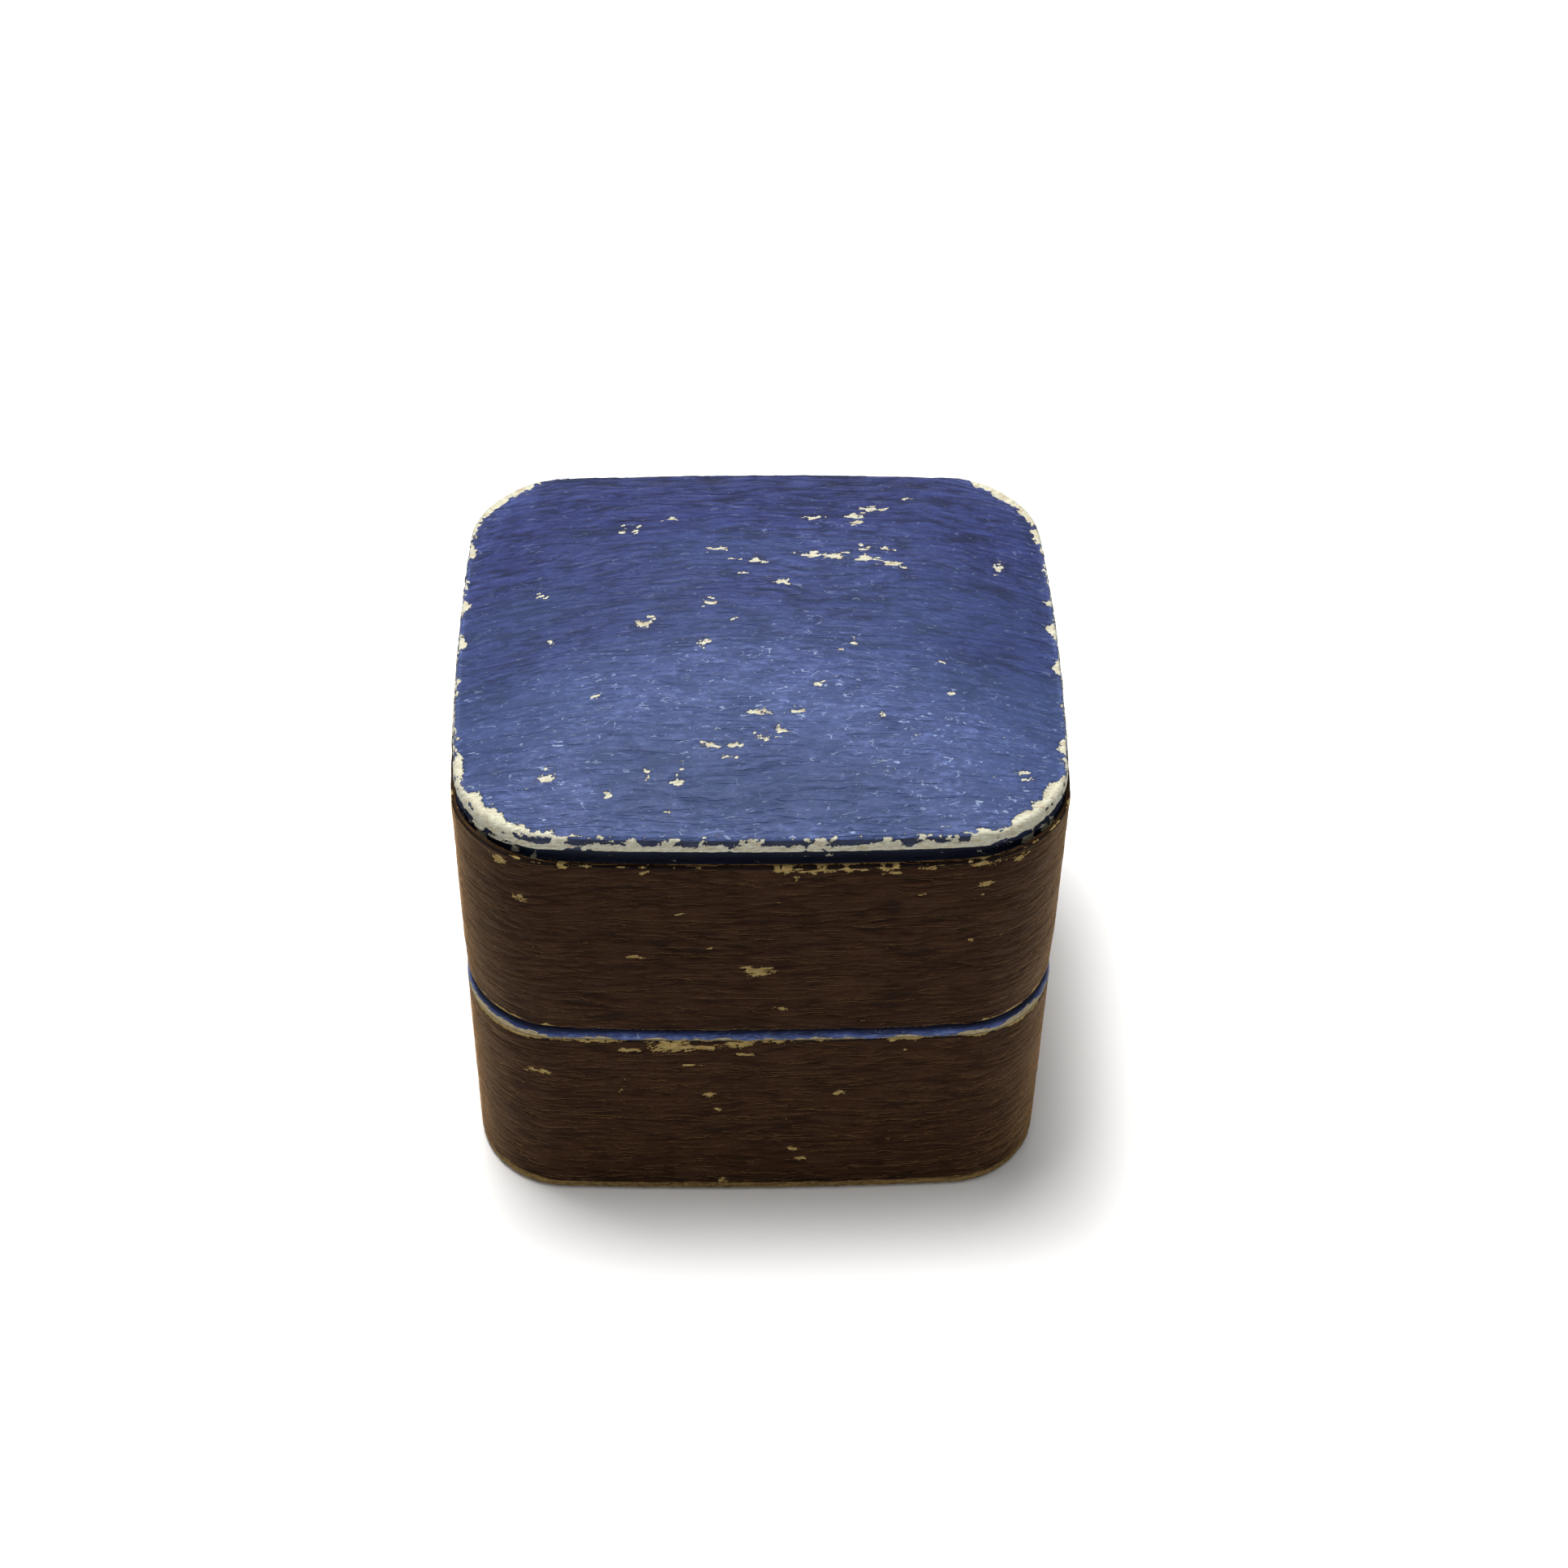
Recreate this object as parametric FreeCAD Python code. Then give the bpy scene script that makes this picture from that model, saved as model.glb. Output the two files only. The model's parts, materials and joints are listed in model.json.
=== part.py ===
"""Antique ring box: a hinged two-part box of covered wood with a domed lid, a velvet collar and ring pads.

Millimetres. The origin is the middle of the underside, +Z is up, and the front faces -Y.
"inset" is always the distance in from the box's outer face, so outline(0) is the outside of the box.
"""

import FreeCAD
import Part

import math
import os

V = FreeCAD.Vector

# Outside of the box
WIDTH = 50.0
DEPTH = 44.0
CORNER_R = 8.0
SIDE_BOW = 0.4  # how far each side bulges past its tangent corners
LID_EDGE = 45.0  # height of the lid's top edge
CROWN = 3.5  # rise of the domed top above that edge
DOME_POWER = 2.4  # how full the dome is: 2 is a parabola, more is flatter in the middle
DOME_STEPS = (1.0, 0.85, 0.68, 0.5, 0.32, 0.16, 0.04)  # sections of the dome, as shares of the outline

# Materials
COVER = 0.4  # leatherette
WALL = 3.0  # wood sides
LINING_CARD = 0.7
CLOTH = 0.3  # satin and velvet

# Base, from the floor up
PAPER_T = 0.2
PAPER_INSET = 1.2
PANEL_T = 0.8  # bottom card, whose bare edge shows
PANEL_INSET = 0.05
FLOOR_T = 2.4
RIM_TOP = 21.9
RIM_EDGE = 20.9  # where the side wrap ends and the rim's own strip begins
RIM_ROUND = 0.9

# Lid, from the seam up
SEAM_GAP = 0.3
CEILING = 41.4  # underside of the top board
WRAP_TOP = 42.2  # where the lid's side wrap ends
LEDGE_T = 0.3  # the top cover turned out over the board, inside the side wrap's top edge
GROOVE = 0.95  # inset of the dark groove under the top edge
BEAD_INSET = 0.6
BEAD_T = 1.4
BEAD_ROUND = 0.3

# Turned-in strips, collar and linings
TURN_IN = 4.2  # how far a rim strip reaches down or up the inside
COLLAR_INSET = 4.0
COLLAR_CARD = 0.8
COLLAR_TOP = 24.6
COLLAR_CLOTH = 0.4  # velvet over the collar's top edge
LID_PAD_INSET = 4.6
LID_PAD_CARD = 0.8
LID_PAD_CROWN = 3.2

# Ring pads
PAD_BOARD_T = 0.8
PAD_INSET = 6.0
PAD_SLOT = 1.2  # between the two pads
PAD_TOP = 19.8
PAD_SHOULDER = 15.6
PAD_CLOTH = 0.5

# Hinge
AXIS_INSET = 1.25
BEVEL = 49.5  # degrees of each rear bevel, measured from the seam
BARREL_R = 1.1
BARREL_ROOM = 0.2
PIN_R = 0.45
PIN_ROOM = 0.02
HINGE_W = 18.0
KNUCKLES = 5
KNUCKLE_GAP = 0.15
LEAF_T = 0.5
LEAF_LONG = 6.5
KERF_ROOM = 0.1
NAIL_X = 5.5
NAIL_Z = 4.4
NAIL_R = 0.35
NAIL_LONG = 2.6
NAIL_HEAD_R = 0.8
NAIL_HEAD_T = 0.3
NAIL_ROOM = 0.03

# Worked out from the above
PANEL_TOP = PAPER_T + PANEL_T
FLOOR_TOP = PANEL_TOP + FLOOR_T
LID_BOTTOM = RIM_TOP + SEAM_GAP
AXIS_Y = DEPTH / 2 - AXIS_INSET
AXIS_Z = RIM_TOP + SEAM_GAP / 2
INNER = COVER + WALL  # inset of the wood's inner face
BINDING_INNER = INNER + COVER
LINING_Z = LID_BOTTOM + TURN_IN  # the lid's lining starts above its rim strip
LINING_INNER = INNER + LINING_CARD + CLOTH
COLLAR_INNER = COLLAR_INSET + CLOTH + COLLAR_CARD + PAD_CLOTH
BARREL_CUT_R = BARREL_R + BARREL_ROOM
PAD_FLOOR = FLOOR_TOP + PAD_BOARD_T
LID_PAD_TOP = CEILING - LID_PAD_CARD
FAR = 100.0  # longer than anything here


def circle_crossing(a, ra, b, rb):
    """The crossing, in the first quadrant, of two circles in the XY plane."""
    gap = b - a
    d = gap.Length
    along = (d * d + ra * ra - rb * rb) / (2 * d)
    side = math.sqrt(ra * ra - along * along)
    unit = gap / d
    middle = a + unit * along
    found = [middle + V(-unit.y, unit.x, 0) * s for s in (side, -side)]
    return max(found, key=lambda p: min(p.x, p.y))


def side_radius(length):
    """Radius of a side of that length between its corners, bulging by SIDE_BOW."""
    return (length / 2) ** 2 / (2 * SIDE_BOW) + SIDE_BOW / 2


def outline(inset, z, share=1.0):
    """The box's plan as a closed wire: four bowed sides joined by tangent corner arcs."""
    back_r = side_radius(WIDTH - 2 * CORNER_R)
    right_r = side_radius(DEPTH - 2 * CORNER_R)
    back_c = V(0, DEPTH / 2 - back_r, 0)
    right_c = V(WIDTH / 2 - right_r, 0, 0)
    corner_c = circle_crossing(back_c, back_r - CORNER_R, right_c, right_r - CORNER_R)
    to_right = (corner_c - right_c).normalize()
    to_back = (corner_c - back_c).normalize()
    on_right = right_c + to_right * (right_r - inset)
    on_back = back_c + to_back * (back_r - inset)
    on_corner = corner_c + (to_right + to_back).normalize() * (CORNER_R - inset)
    half = [on_right, on_corner, on_back, V(0, DEPTH / 2 - inset, 0)]
    half += [V(-p.x, p.y, 0) for p in (on_back, on_corner, on_right)]
    half += [V(-WIDTH / 2 + inset, 0, 0)]
    ring = half + [V(-p.x, -p.y, 0) for p in half]
    ring = [V(p.x * share, p.y * share, z) for p in ring]
    arcs = [Part.Arc(ring[i], ring[i + 1], ring[(i + 2) % 16]) for i in range(0, 16, 2)]
    return Part.Wire([arc.toShape() for arc in arcs])


def prism(inset, low, high):
    return Part.Face(outline(inset, low)).extrude(V(0, 0, high - low))


def hoop(outer, inner, low, high):
    return prism(outer, low, high).cut(prism(inner, low, high))


def dome(inset, edge_z, crown):
    """A mound on the outline, crown high. A negative crown hangs down."""
    sections = [
        outline(inset, edge_z + crown * (1 - share**DOME_POWER), share) for share in DOME_STEPS
    ]
    return Part.makeLoft(sections, True)


def bar(x, y, z):
    """A box from three (low, high) pairs."""
    return Part.makeBox(x[1] - x[0], y[1] - y[0], z[1] - z[0], V(x[0], y[0], z[0]))


def rounded(shape, radius, *heights):
    """Rounds the outer edges that lie wholly at those heights."""

    def at_height(edge):
        zs = [v.Z for v in edge.Vertexes]
        return any(all(abs(z - h) < 1e-6 for z in zs) for h in heights)

    return shape.makeFillet(radius, [e for e in shape.Edges if at_height(e)])


def wedge(grow):
    """The V behind the hinge axis, grown by that much on both faces, over the box's whole width."""
    half = math.radians(BEVEL)
    tip = AXIS_Y - grow / math.sin(half)
    reach = DEPTH / 2 + 1.0
    rise = (reach - tip) * math.tan(half)
    corners = [V(-FAR / 2, tip, AXIS_Z)]
    corners += [V(-FAR / 2, reach, AXIS_Z + side * rise) for side in (1, -1)]
    return Part.Face(Part.makePolygon(corners + corners[:1])).extrude(V(FAR, 0, 0))


def along_x(radius, length, x=0.0):
    """A cylinder on the hinge axis, centred at x."""
    return Part.makeCylinder(radius, length, V(x - length / 2, AXIS_Y, AXIS_Z), V(1, 0, 0))


def nail_holes(side, radius, head_radius):
    """Two nails, or the holes for them, driven out through a rear wall. side is 1 for the lid."""
    nails = []
    start = DEPTH / 2 - INNER
    for x in (-NAIL_X, NAIL_X):
        at = V(x, start, AXIS_Z + side * NAIL_Z)
        head = Part.makeCylinder(head_radius, NAIL_HEAD_T, at, V(0, 1, 0))
        nails.append(head.fuse(Part.makeCylinder(radius, NAIL_LONG, at, V(0, 1, 0))).removeSplitter())
    return nails


def hinge_room(side):
    """What a rear wall gives up for the hinge: the barrel's seat, the leaf's kerf and the nail holes."""
    half = HINGE_W / 2 + KERF_ROOM
    leaf_y = AXIS_Y - BARREL_R
    ends = sorted((AXIS_Z, AXIS_Z + side * (LEAF_LONG + KERF_ROOM)))
    kerf = bar((-half, half), (leaf_y, leaf_y + LEAF_T), ends)
    cuts = [along_x(BARREL_CUT_R, 2 * half), kerf]
    return cuts + nail_holes(side, NAIL_R + NAIL_ROOM, NAIL_HEAD_R + NAIL_ROOM)


def barrel_seat():
    return along_x(BARREL_CUT_R, HINGE_W + 2 * KERF_ROOM)


def base_covered():
    """The base's whole outside, with its rounded rim and rear bevel."""
    return rounded(prism(0, PANEL_TOP, RIM_TOP), RIM_ROUND, RIM_TOP).cut(wedge(0))


def base_wood():
    """Everything inside the base's covering."""
    core = prism(COVER, PANEL_TOP, RIM_TOP - COVER)
    return rounded(core, RIM_ROUND - COVER, RIM_TOP - COVER).cut(wedge(COVER))


def rim_zone():
    """Where the base's covering is the rim strip and not the side wrap."""
    band = bar((-FAR, FAR), (-FAR, FAR), (RIM_EDGE, RIM_TOP + 1))
    return band.fuse(wedge(2 * COVER))


def base_parts():
    skin = base_covered().cut(base_wood())
    wall = base_wood().cut(prism(INNER, PANEL_TOP, RIM_TOP)).cut(prism(0, 0, FLOOR_TOP))
    hollow = prism(BINDING_INNER, 0, RIM_TOP)
    turned_in = hoop(INNER, BINDING_INNER, RIM_TOP - TURN_IN, RIM_TOP)
    binding = skin.common(rim_zone()).cut(hollow).fuse(turned_in).removeSplitter()
    panel = rounded(prism(PANEL_INSET, PAPER_T, PANEL_TOP), PANEL_T / 3, PAPER_T, PANEL_TOP)
    return {
        "base_bottom_paper": prism(PAPER_INSET, 0, PAPER_T),
        "base_bottom_panel": panel,
        "base_floor": prism(COVER, PANEL_TOP, FLOOR_TOP),
        "base_wall": wall.cut(hinge_room(-1)),
        "base_side_wrap": skin.cut(rim_zone()),
        "base_rim_strip": binding.cut(barrel_seat()),
    }


def collar_parts():
    """The card collar that stands up from the base into the lid, and the velvet folded over it."""
    outer = COLLAR_INSET + CLOTH
    card = hoop(outer, outer + COLLAR_CARD, FLOOR_TOP, COLLAR_TOP - COLLAR_CLOTH)
    whole = hoop(COLLAR_INSET, COLLAR_INNER, FLOOR_TOP, COLLAR_TOP)
    return {"collar_card": card, "collar_velvet": whole.cut(card)}


def pad_block(shrink):
    """The front ring pad: a loaf along X with a rounded top, shrunk evenly by that much except below."""
    front = -(DEPTH / 2 - PAD_INSET) + shrink
    back = -PAD_SLOT / 2 - shrink
    shoulder = PAD_SHOULDER - shrink
    low, up = V(-FAR / 2, front, PAD_FLOOR), V(-FAR / 2, front, shoulder)
    top = V(-FAR / 2, (front + back) / 2, PAD_TOP - shrink)
    down, end = V(-FAR / 2, back, shoulder), V(-FAR / 2, back, PAD_FLOOR)
    edges = [Part.LineSegment(low, up), Part.Arc(up, top, down), Part.LineSegment(down, end)]
    edges.append(Part.LineSegment(end, low))
    profile = Part.Wire([edge.toShape() for edge in edges])
    loaf = Part.Face(profile).extrude(V(FAR, 0, 0))
    return loaf.common(prism(PAD_INSET + shrink, PAD_FLOOR, PAD_TOP))


def ring_pad_parts():
    wadding = pad_block(PAD_CLOTH)
    velvet = pad_block(0).cut(wadding)
    board = prism(COLLAR_INNER + 0.1, FLOOR_TOP, PAD_FLOOR)
    parts = {"pad_board": board, "ring_pad_front": velvet, "ring_wadding_front": wadding}
    for name in ("ring_pad", "ring_wadding"):
        parts[name + "_back"] = parts[name + "_front"].mirror(V(0, 0, 0), V(0, 1, 0))
    return parts


def lid_parts():
    wrap = hoop(0, COVER, LID_BOTTOM, WRAP_TOP).cut(wedge(0))
    core = prism(COVER, LID_BOTTOM + COVER, CEILING).cut(wedge(COVER))
    under = prism(COVER, LID_BOTTOM, LID_BOTTOM + 2 * AXIS_INSET).cut(wedge(0)).cut(core)
    turned_in = hoop(INNER, BINDING_INNER, LID_BOTTOM, LINING_Z)
    strip = under.cut(prism(BINDING_INNER, 0, CEILING)).fuse(turned_in).removeSplitter()
    wall = core.cut(prism(INNER, LID_BOTTOM, CEILING)).cut(hinge_room(1))

    neck = COVER + GROOVE
    ledge = WRAP_TOP - LEDGE_T
    board = prism(COVER, CEILING, ledge)
    board = board.fuse(prism(neck, ledge, LID_EDGE - COVER))
    board = board.fuse(dome(neck, LID_EDGE - COVER, CROWN)).removeSplitter()
    bead = rounded(prism(BEAD_INSET, LID_EDGE - BEAD_T, LID_EDGE), BEAD_ROUND, LID_EDGE - BEAD_T)
    cover = prism(COVER, ledge, WRAP_TOP).fuse(prism(GROOVE, WRAP_TOP, LID_EDGE))
    cover = cover.fuse(bead).fuse(dome(BEAD_INSET, LID_EDGE, CROWN))
    return {
        "lid_wall": wall,
        "lid_side_wrap": wrap,
        "lid_rim_strip": strip.cut(barrel_seat()),
        "lid_top_board": board,
        "lid_top_cover": cover.cut(board).removeSplitter(),
    }


def lid_lining_parts():
    """Satin over card up the lid's sides, and a satin pad over wadding and card in its top."""
    card = hoop(INNER, INNER + LINING_CARD, LINING_Z + CLOTH, CEILING)
    satin = hoop(INNER, LINING_INNER, LINING_Z, CEILING).cut(card)
    pad = dome(LID_PAD_INSET, LID_PAD_TOP, -LID_PAD_CROWN)
    wadding = dome(LID_PAD_INSET + CLOTH, LID_PAD_TOP, CLOTH - LID_PAD_CROWN)
    return {
        "lid_lining_card": card,
        "lid_lining_satin": satin,
        "lid_pad_card": prism(LID_PAD_INSET, LID_PAD_TOP, CEILING),
        "lid_pad_wadding": wadding,
        "lid_pad_satin": pad.cut(wadding),
    }


def leaf(side):
    """One hinge leaf with its knuckles, tangent to the barrel. side is 1 for the lid's."""
    y = (AXIS_Y - BARREL_R, AXIS_Y - BARREL_R + LEAF_T)
    half = HINGE_W / 2
    tip = AXIS_Z + side * LEAF_LONG
    plate = bar((-half, half), y, sorted((AXIS_Z + side * BARREL_CUT_R, tip)))
    pitch = HINGE_W / KNUCKLES
    first = 0 if side < 0 else 1
    for k in range(first, KNUCKLES, 2):
        x = (k + 0.5) * pitch - half
        long = pitch - KNUCKLE_GAP
        web = bar((x - long / 2, x + long / 2), y, sorted((AXIS_Z, AXIS_Z + side * BARREL_CUT_R)))
        plate = plate.fuse(along_x(BARREL_R, long, x)).fuse(web)
    bore = along_x(PIN_R + PIN_ROOM, FAR)
    return plate.cut(bore).cut(nail_holes(side, NAIL_R + NAIL_ROOM, NAIL_R + NAIL_ROOM)).removeSplitter()


def hinge_parts():
    return {
        "hinge_lower_leaf": leaf(-1),
        "hinge_upper_leaf": leaf(1),
        "hinge_pin": along_x(PIN_R, HINGE_W - KNUCKLE_GAP),
        "hinge_lower_nails": Part.makeCompound(nail_holes(-1, NAIL_R, NAIL_HEAD_R)),
        "hinge_upper_nails": Part.makeCompound(nail_holes(1, NAIL_R, NAIL_HEAD_R)),
    }


def main():
    os.makedirs("parts", exist_ok=True)
    groups = (base_parts, collar_parts, ring_pad_parts, lid_parts, lid_lining_parts, hinge_parts)
    for group in groups:
        for name, shape in group().items():
            if not shape.isValid() or not shape.Solids:
                raise ValueError(f"{name} isn't a valid solid")
            shape.exportStep(f"parts/{name}.step")
            box = shape.BoundBox
            print(
                f"{name:20s} solids {len(shape.Solids)}  {shape.Volume:9.1f} mm3"
                f"  z {box.ZMin:6.2f} to {box.ZMax:6.2f}"
            )


main()
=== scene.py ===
"""The looks of an old ring box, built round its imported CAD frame.

Shapes are worked out in millimetres and turned into metres when a mesh is made. Each covering is a sweep
round the box's plan: columns go round the outline from the middle of the back, and rows go along a profile
whose points are (inset, z), with inset measured in from the outer face.
"""

import json
import math

import bmesh
import bpy
import numpy as np
from mathutils import Matrix, Vector


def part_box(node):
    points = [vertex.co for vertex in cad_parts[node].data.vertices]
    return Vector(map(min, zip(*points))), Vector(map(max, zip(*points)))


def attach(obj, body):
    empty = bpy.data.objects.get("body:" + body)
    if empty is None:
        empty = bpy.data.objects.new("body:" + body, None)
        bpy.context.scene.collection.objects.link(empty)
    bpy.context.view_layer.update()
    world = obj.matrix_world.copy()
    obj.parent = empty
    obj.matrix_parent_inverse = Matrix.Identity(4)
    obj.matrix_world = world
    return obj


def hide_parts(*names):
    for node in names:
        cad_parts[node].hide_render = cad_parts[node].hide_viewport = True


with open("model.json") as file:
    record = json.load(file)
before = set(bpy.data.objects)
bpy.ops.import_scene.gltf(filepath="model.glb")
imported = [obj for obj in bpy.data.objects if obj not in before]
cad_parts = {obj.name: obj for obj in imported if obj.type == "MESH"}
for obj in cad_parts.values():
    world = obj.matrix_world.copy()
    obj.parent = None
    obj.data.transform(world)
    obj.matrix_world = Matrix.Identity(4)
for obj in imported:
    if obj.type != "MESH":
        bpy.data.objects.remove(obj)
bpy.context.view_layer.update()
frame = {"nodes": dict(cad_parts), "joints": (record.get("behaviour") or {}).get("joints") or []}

MM = 0.001


def box_mm(node):
    """A node's lowest and highest corners, in millimetres."""
    low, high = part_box(node)
    return np.array(low) / MM, np.array(high) / MM


# Sizes read from the frame
SIDE_LOW, SIDE_HIGH = box_mm("base_side_wrap")
WIDTH, DEPTH = (SIDE_HIGH - SIDE_LOW)[:2]
LID_LOW, LID_HIGH = box_mm("lid_side_wrap")
COVER_LOW, COVER_HIGH = box_mm("lid_top_cover")
BASE_RIM_LOW, BASE_RIM_HIGH = box_mm("base_rim_strip")
LID_RIM_LOW, LID_RIM_HIGH = box_mm("lid_rim_strip")
PANEL_LOW, PANEL_HIGH = box_mm("base_bottom_panel")
COLLAR_LOW, COLLAR_HIGH = box_mm("collar_velvet")
LINING_LOW, LINING_HIGH = box_mm("lid_lining_satin")
PAD_LOW, PAD_HIGH = box_mm("ring_pad_front")
PUFF_LOW, PUFF_HIGH = box_mm("lid_pad_satin")
AXIS_Y, AXIS_Z = np.array(frame["joints"][0]["pos_m"])[1:] / MM
BARREL_R = (box_mm("hinge_lower_leaf")[1] - [0, AXIS_Y, AXIS_Z])[2]
HINGE_HALF = box_mm("hinge_upper_leaf")[1][0]

# Shape of the outline and the coverings, as built. Insets are measured in from the outer face
CORNER_R = 8.0
SIDE_BOW = 0.4  # how far each side bulges
COVER = 0.4  # thickness of a covering
WALL_INNER = 3.4  # inset of the walls' inner face
TURN_IN_INNER = 3.8  # inset of a rim's covering where it is turned in
RIM_ROUND = 0.9
BEVEL = math.radians(49.5)  # slope of the rear bevels that let the lid open
BEAD_INSET = (WIDTH - (COVER_HIGH - COVER_LOW)[0]) / 2
CROWN = 3.5  # rise of the dome
DOME_POWER = 2.4
LID_EDGE = COVER_HIGH[2] - CROWN
BEAD_T = 1.4  # thickness of the top's edge
GROOVE = 0.95  # depth of the groove under it
COLLAR_INSET = (WIDTH - (COLLAR_HIGH - COLLAR_LOW)[0]) / 2
COLLAR_INNER = COLLAR_INSET + 1.6
COLLAR_CARD = (0.3, 1.1)  # the card's faces, in from the velvet's outer face
LINING_INNER = 4.4  # inset of the satin's shown face
SEAT_R = BARREL_R + 0.17  # radius of the rims' seat for the hinge's barrel
SEAT_END = 0.5  # how far the seat runs past each end of the barrel
REST_GAP = 0.08  # how far the rims stand back from the rear bevel
SIDE_COLUMNS = 600
RIM_COLUMNS = 560


# ---------------------------------------------------------------- noise and small maths


def smoothstep(low, high, value):
    """0 below low, 1 above high and eased between. low may be the larger, which turns it round."""
    t = np.clip((value - low) / (high - low), 0, 1)
    return t * t * (3 - 2 * t)


def noise(x, y, seed):
    """Smooth gradient noise from about -1 to 1, one lump to a unit."""
    x, y = np.broadcast_arrays(x, y)
    turn = np.random.default_rng(seed).uniform(0, 2 * math.pi, (256, 256))
    col, row = np.floor(x).astype(int), np.floor(y).astype(int)
    dx, dy = x - col, y - row

    def corner(i, j):
        angle = turn[(row + j) % 256, (col + i) % 256]
        return np.cos(angle) * (dx - i) + np.sin(angle) * (dy - j)

    sx, sy = smoothstep(0, 1, dx), smoothstep(0, 1, dy)
    near = corner(0, 0) * (1 - sx) + corner(1, 0) * sx
    far = corner(0, 1) * (1 - sx) + corner(1, 1) * sx
    return 1.6 * (near * (1 - sy) + far * sy)


def creases(u, v, long, high, width, seed):
    """1 along narrow creases that run mostly along u, 0 on the ridges between them."""
    return np.exp(-((noise(u / long, v / high, seed) / width) ** 2))


def long_grain(u, v, seed):
    """Height of long-grain leatherette, 0 in its creases to 1: ridges along u that waver, split and join."""
    drift = 0.9 * noise(u / 10, v / 7, seed) + 0.25 * noise(u / 2.6, v / 2.0, seed + 1)
    v = v + drift
    swell = noise(u / 5, v / 1.2, seed + 2)
    main = creases(u, v, 6.0, 0.78, 0.15, seed + 3)
    main *= smoothstep(-0.8, 0.0, noise(u / 4, v / 2.5, seed + 4))
    fine = creases(u, v, 2.6, 0.5, 0.2, seed + 5)
    fine *= smoothstep(-0.6, 0.3, noise(u / 3, v / 2, seed + 6))
    short = creases(u, v, 0.8, 0.32, 0.22, seed + 7)
    short *= smoothstep(-0.2, 0.5, noise(u / 2.2, v / 1.6, seed + 8))
    return np.clip(0.68 + 0.14 * swell - 0.42 * main - 0.34 * fine - 0.24 * short, 0, 1)


def resample(path, count, power=1.0):
    """count points along a path, evenly spaced, or closer at its start if power is over 1."""
    steps = np.hypot(*np.diff(path, axis=0).T)
    along = np.concatenate([[0], np.cumsum(steps)])
    wanted = np.linspace(0, 1, count) ** power * along[-1]
    return np.stack([np.interp(wanted, along, path[:, k]) for k in range(2)], axis=1)


def arc(centre, radius, start, end, count):
    """Points of an arc in (inset, z), from one angle to another in degrees."""
    angle = np.radians(np.linspace(start, end, count))
    return np.stack([centre[0] + radius * np.cos(angle), centre[1] + radius * np.sin(angle)], axis=1)


def curve(a, control, b, count):
    """A quadratic curve from a to b."""
    t = np.linspace(0, 1, count)[:, None]
    a, control, b = np.array(a), np.array(control), np.array(b)
    return (1 - t) ** 2 * a + 2 * t * (1 - t) * control + t * t * b


# ---------------------------------------------------------------- the plan


def side_radius(length):
    """Radius of an arc that bulges by SIDE_BOW over a length."""
    return (length / 2) ** 2 / (2 * SIDE_BOW) + SIDE_BOW / 2


class Plan:
    """The outline as eight tangent arcs, anticlockwise from the middle of the back."""

    def __init__(self):
        back_r, side_r = side_radius(WIDTH - 2 * CORNER_R), side_radius(DEPTH - 2 * CORNER_R)
        back_y, side_x = DEPTH / 2 - back_r, WIDTH / 2 - side_r
        gap = math.hypot(side_x, back_y)
        ra, rb = back_r - CORNER_R, side_r - CORNER_R
        along = (gap * gap + ra * ra - rb * rb) / (2 * gap)
        aside = math.sqrt(ra * ra - along * along)
        unit = np.array([side_x, -back_y]) / gap
        corner = np.array([0, back_y]) + unit * along + np.array([unit[1], -unit[0]]) * aside
        back = math.atan2(corner[0], corner[1] - back_y)
        side = math.atan2(corner[1], corner[0] - side_x)
        quarter = math.pi / 2
        turns = [back, quarter - back - side, 2 * side, quarter - back - side, 2 * back]
        turns += [quarter - back - side, 2 * side, quarter - back - side, back]
        radii = [back_r, CORNER_R, side_r, CORNER_R, back_r, CORNER_R, side_r, CORNER_R, back_r]
        cx, cy = corner
        self.centres = np.array(
            [(0, back_y), (-cx, cy), (-side_x, 0), (-cx, -cy), (0, -back_y)]
            + [(cx, -cy), (side_x, 0), (cx, cy), (0, back_y)]
        )
        self.radii = np.array(radii)
        self.starts = quarter + np.concatenate([[0], np.cumsum(turns)[:-1]])
        self.ends = np.cumsum(np.array(turns) * self.radii)
        self.length = self.ends[-1]
        self.corners = self.ends[[0, 2, 4, 6]] + self.radii[1] * turns[1] / 2

    def at(self, along):
        """Outer points and outward normals at distances round the outline."""
        along = np.asarray(along) % self.length
        k = np.minimum(np.searchsorted(self.ends, along, side="right"), 8)
        before = np.concatenate([[0], self.ends[:-1]])[k]
        angle = self.starts[k] + (along - before) / self.radii[k]
        normal = np.stack([np.cos(angle), np.sin(angle)], axis=-1)
        return self.centres[k] + self.radii[k][..., None] * normal, normal

    def columns(self, count):
        """Distances, outer points and outward normals, evenly spaced round the outline."""
        along = np.arange(count) * self.length / count
        return (along, *self.at(along))

    def cornerness(self, along, reach):
        """1 at the middle of each corner, falling away round the outline."""
        gap = (np.asarray(along)[..., None] - self.corners + self.length / 2) % self.length
        return np.exp(-(((gap - self.length / 2) / reach) ** 2)).max(axis=-1)


PLAN = Plan()
DENSE_XY, DENSE_NORMAL = PLAN.at(np.linspace(0, PLAN.length, 2000, endpoint=False))


def share_of(xy, inset):
    """How far out points are, as a share of the outline at that inset."""
    ring = DENSE_XY - inset * DENSE_NORMAL
    angle = np.arctan2(ring[:, 1], ring[:, 0])
    order = np.argsort(angle)
    reach = np.interp(
        np.arctan2(xy[..., 1], xy[..., 0]), angle[order], np.hypot(*ring[order].T), period=2 * math.pi
    )
    return np.hypot(xy[..., 0], xy[..., 1]) / reach


def dome_z(xy):
    """Height of the dome over points of the plan."""
    share = share_of(xy, BEAD_INSET)
    return LID_EDGE + CROWN * (1 - np.minimum(share, 1) ** DOME_POWER)


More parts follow.
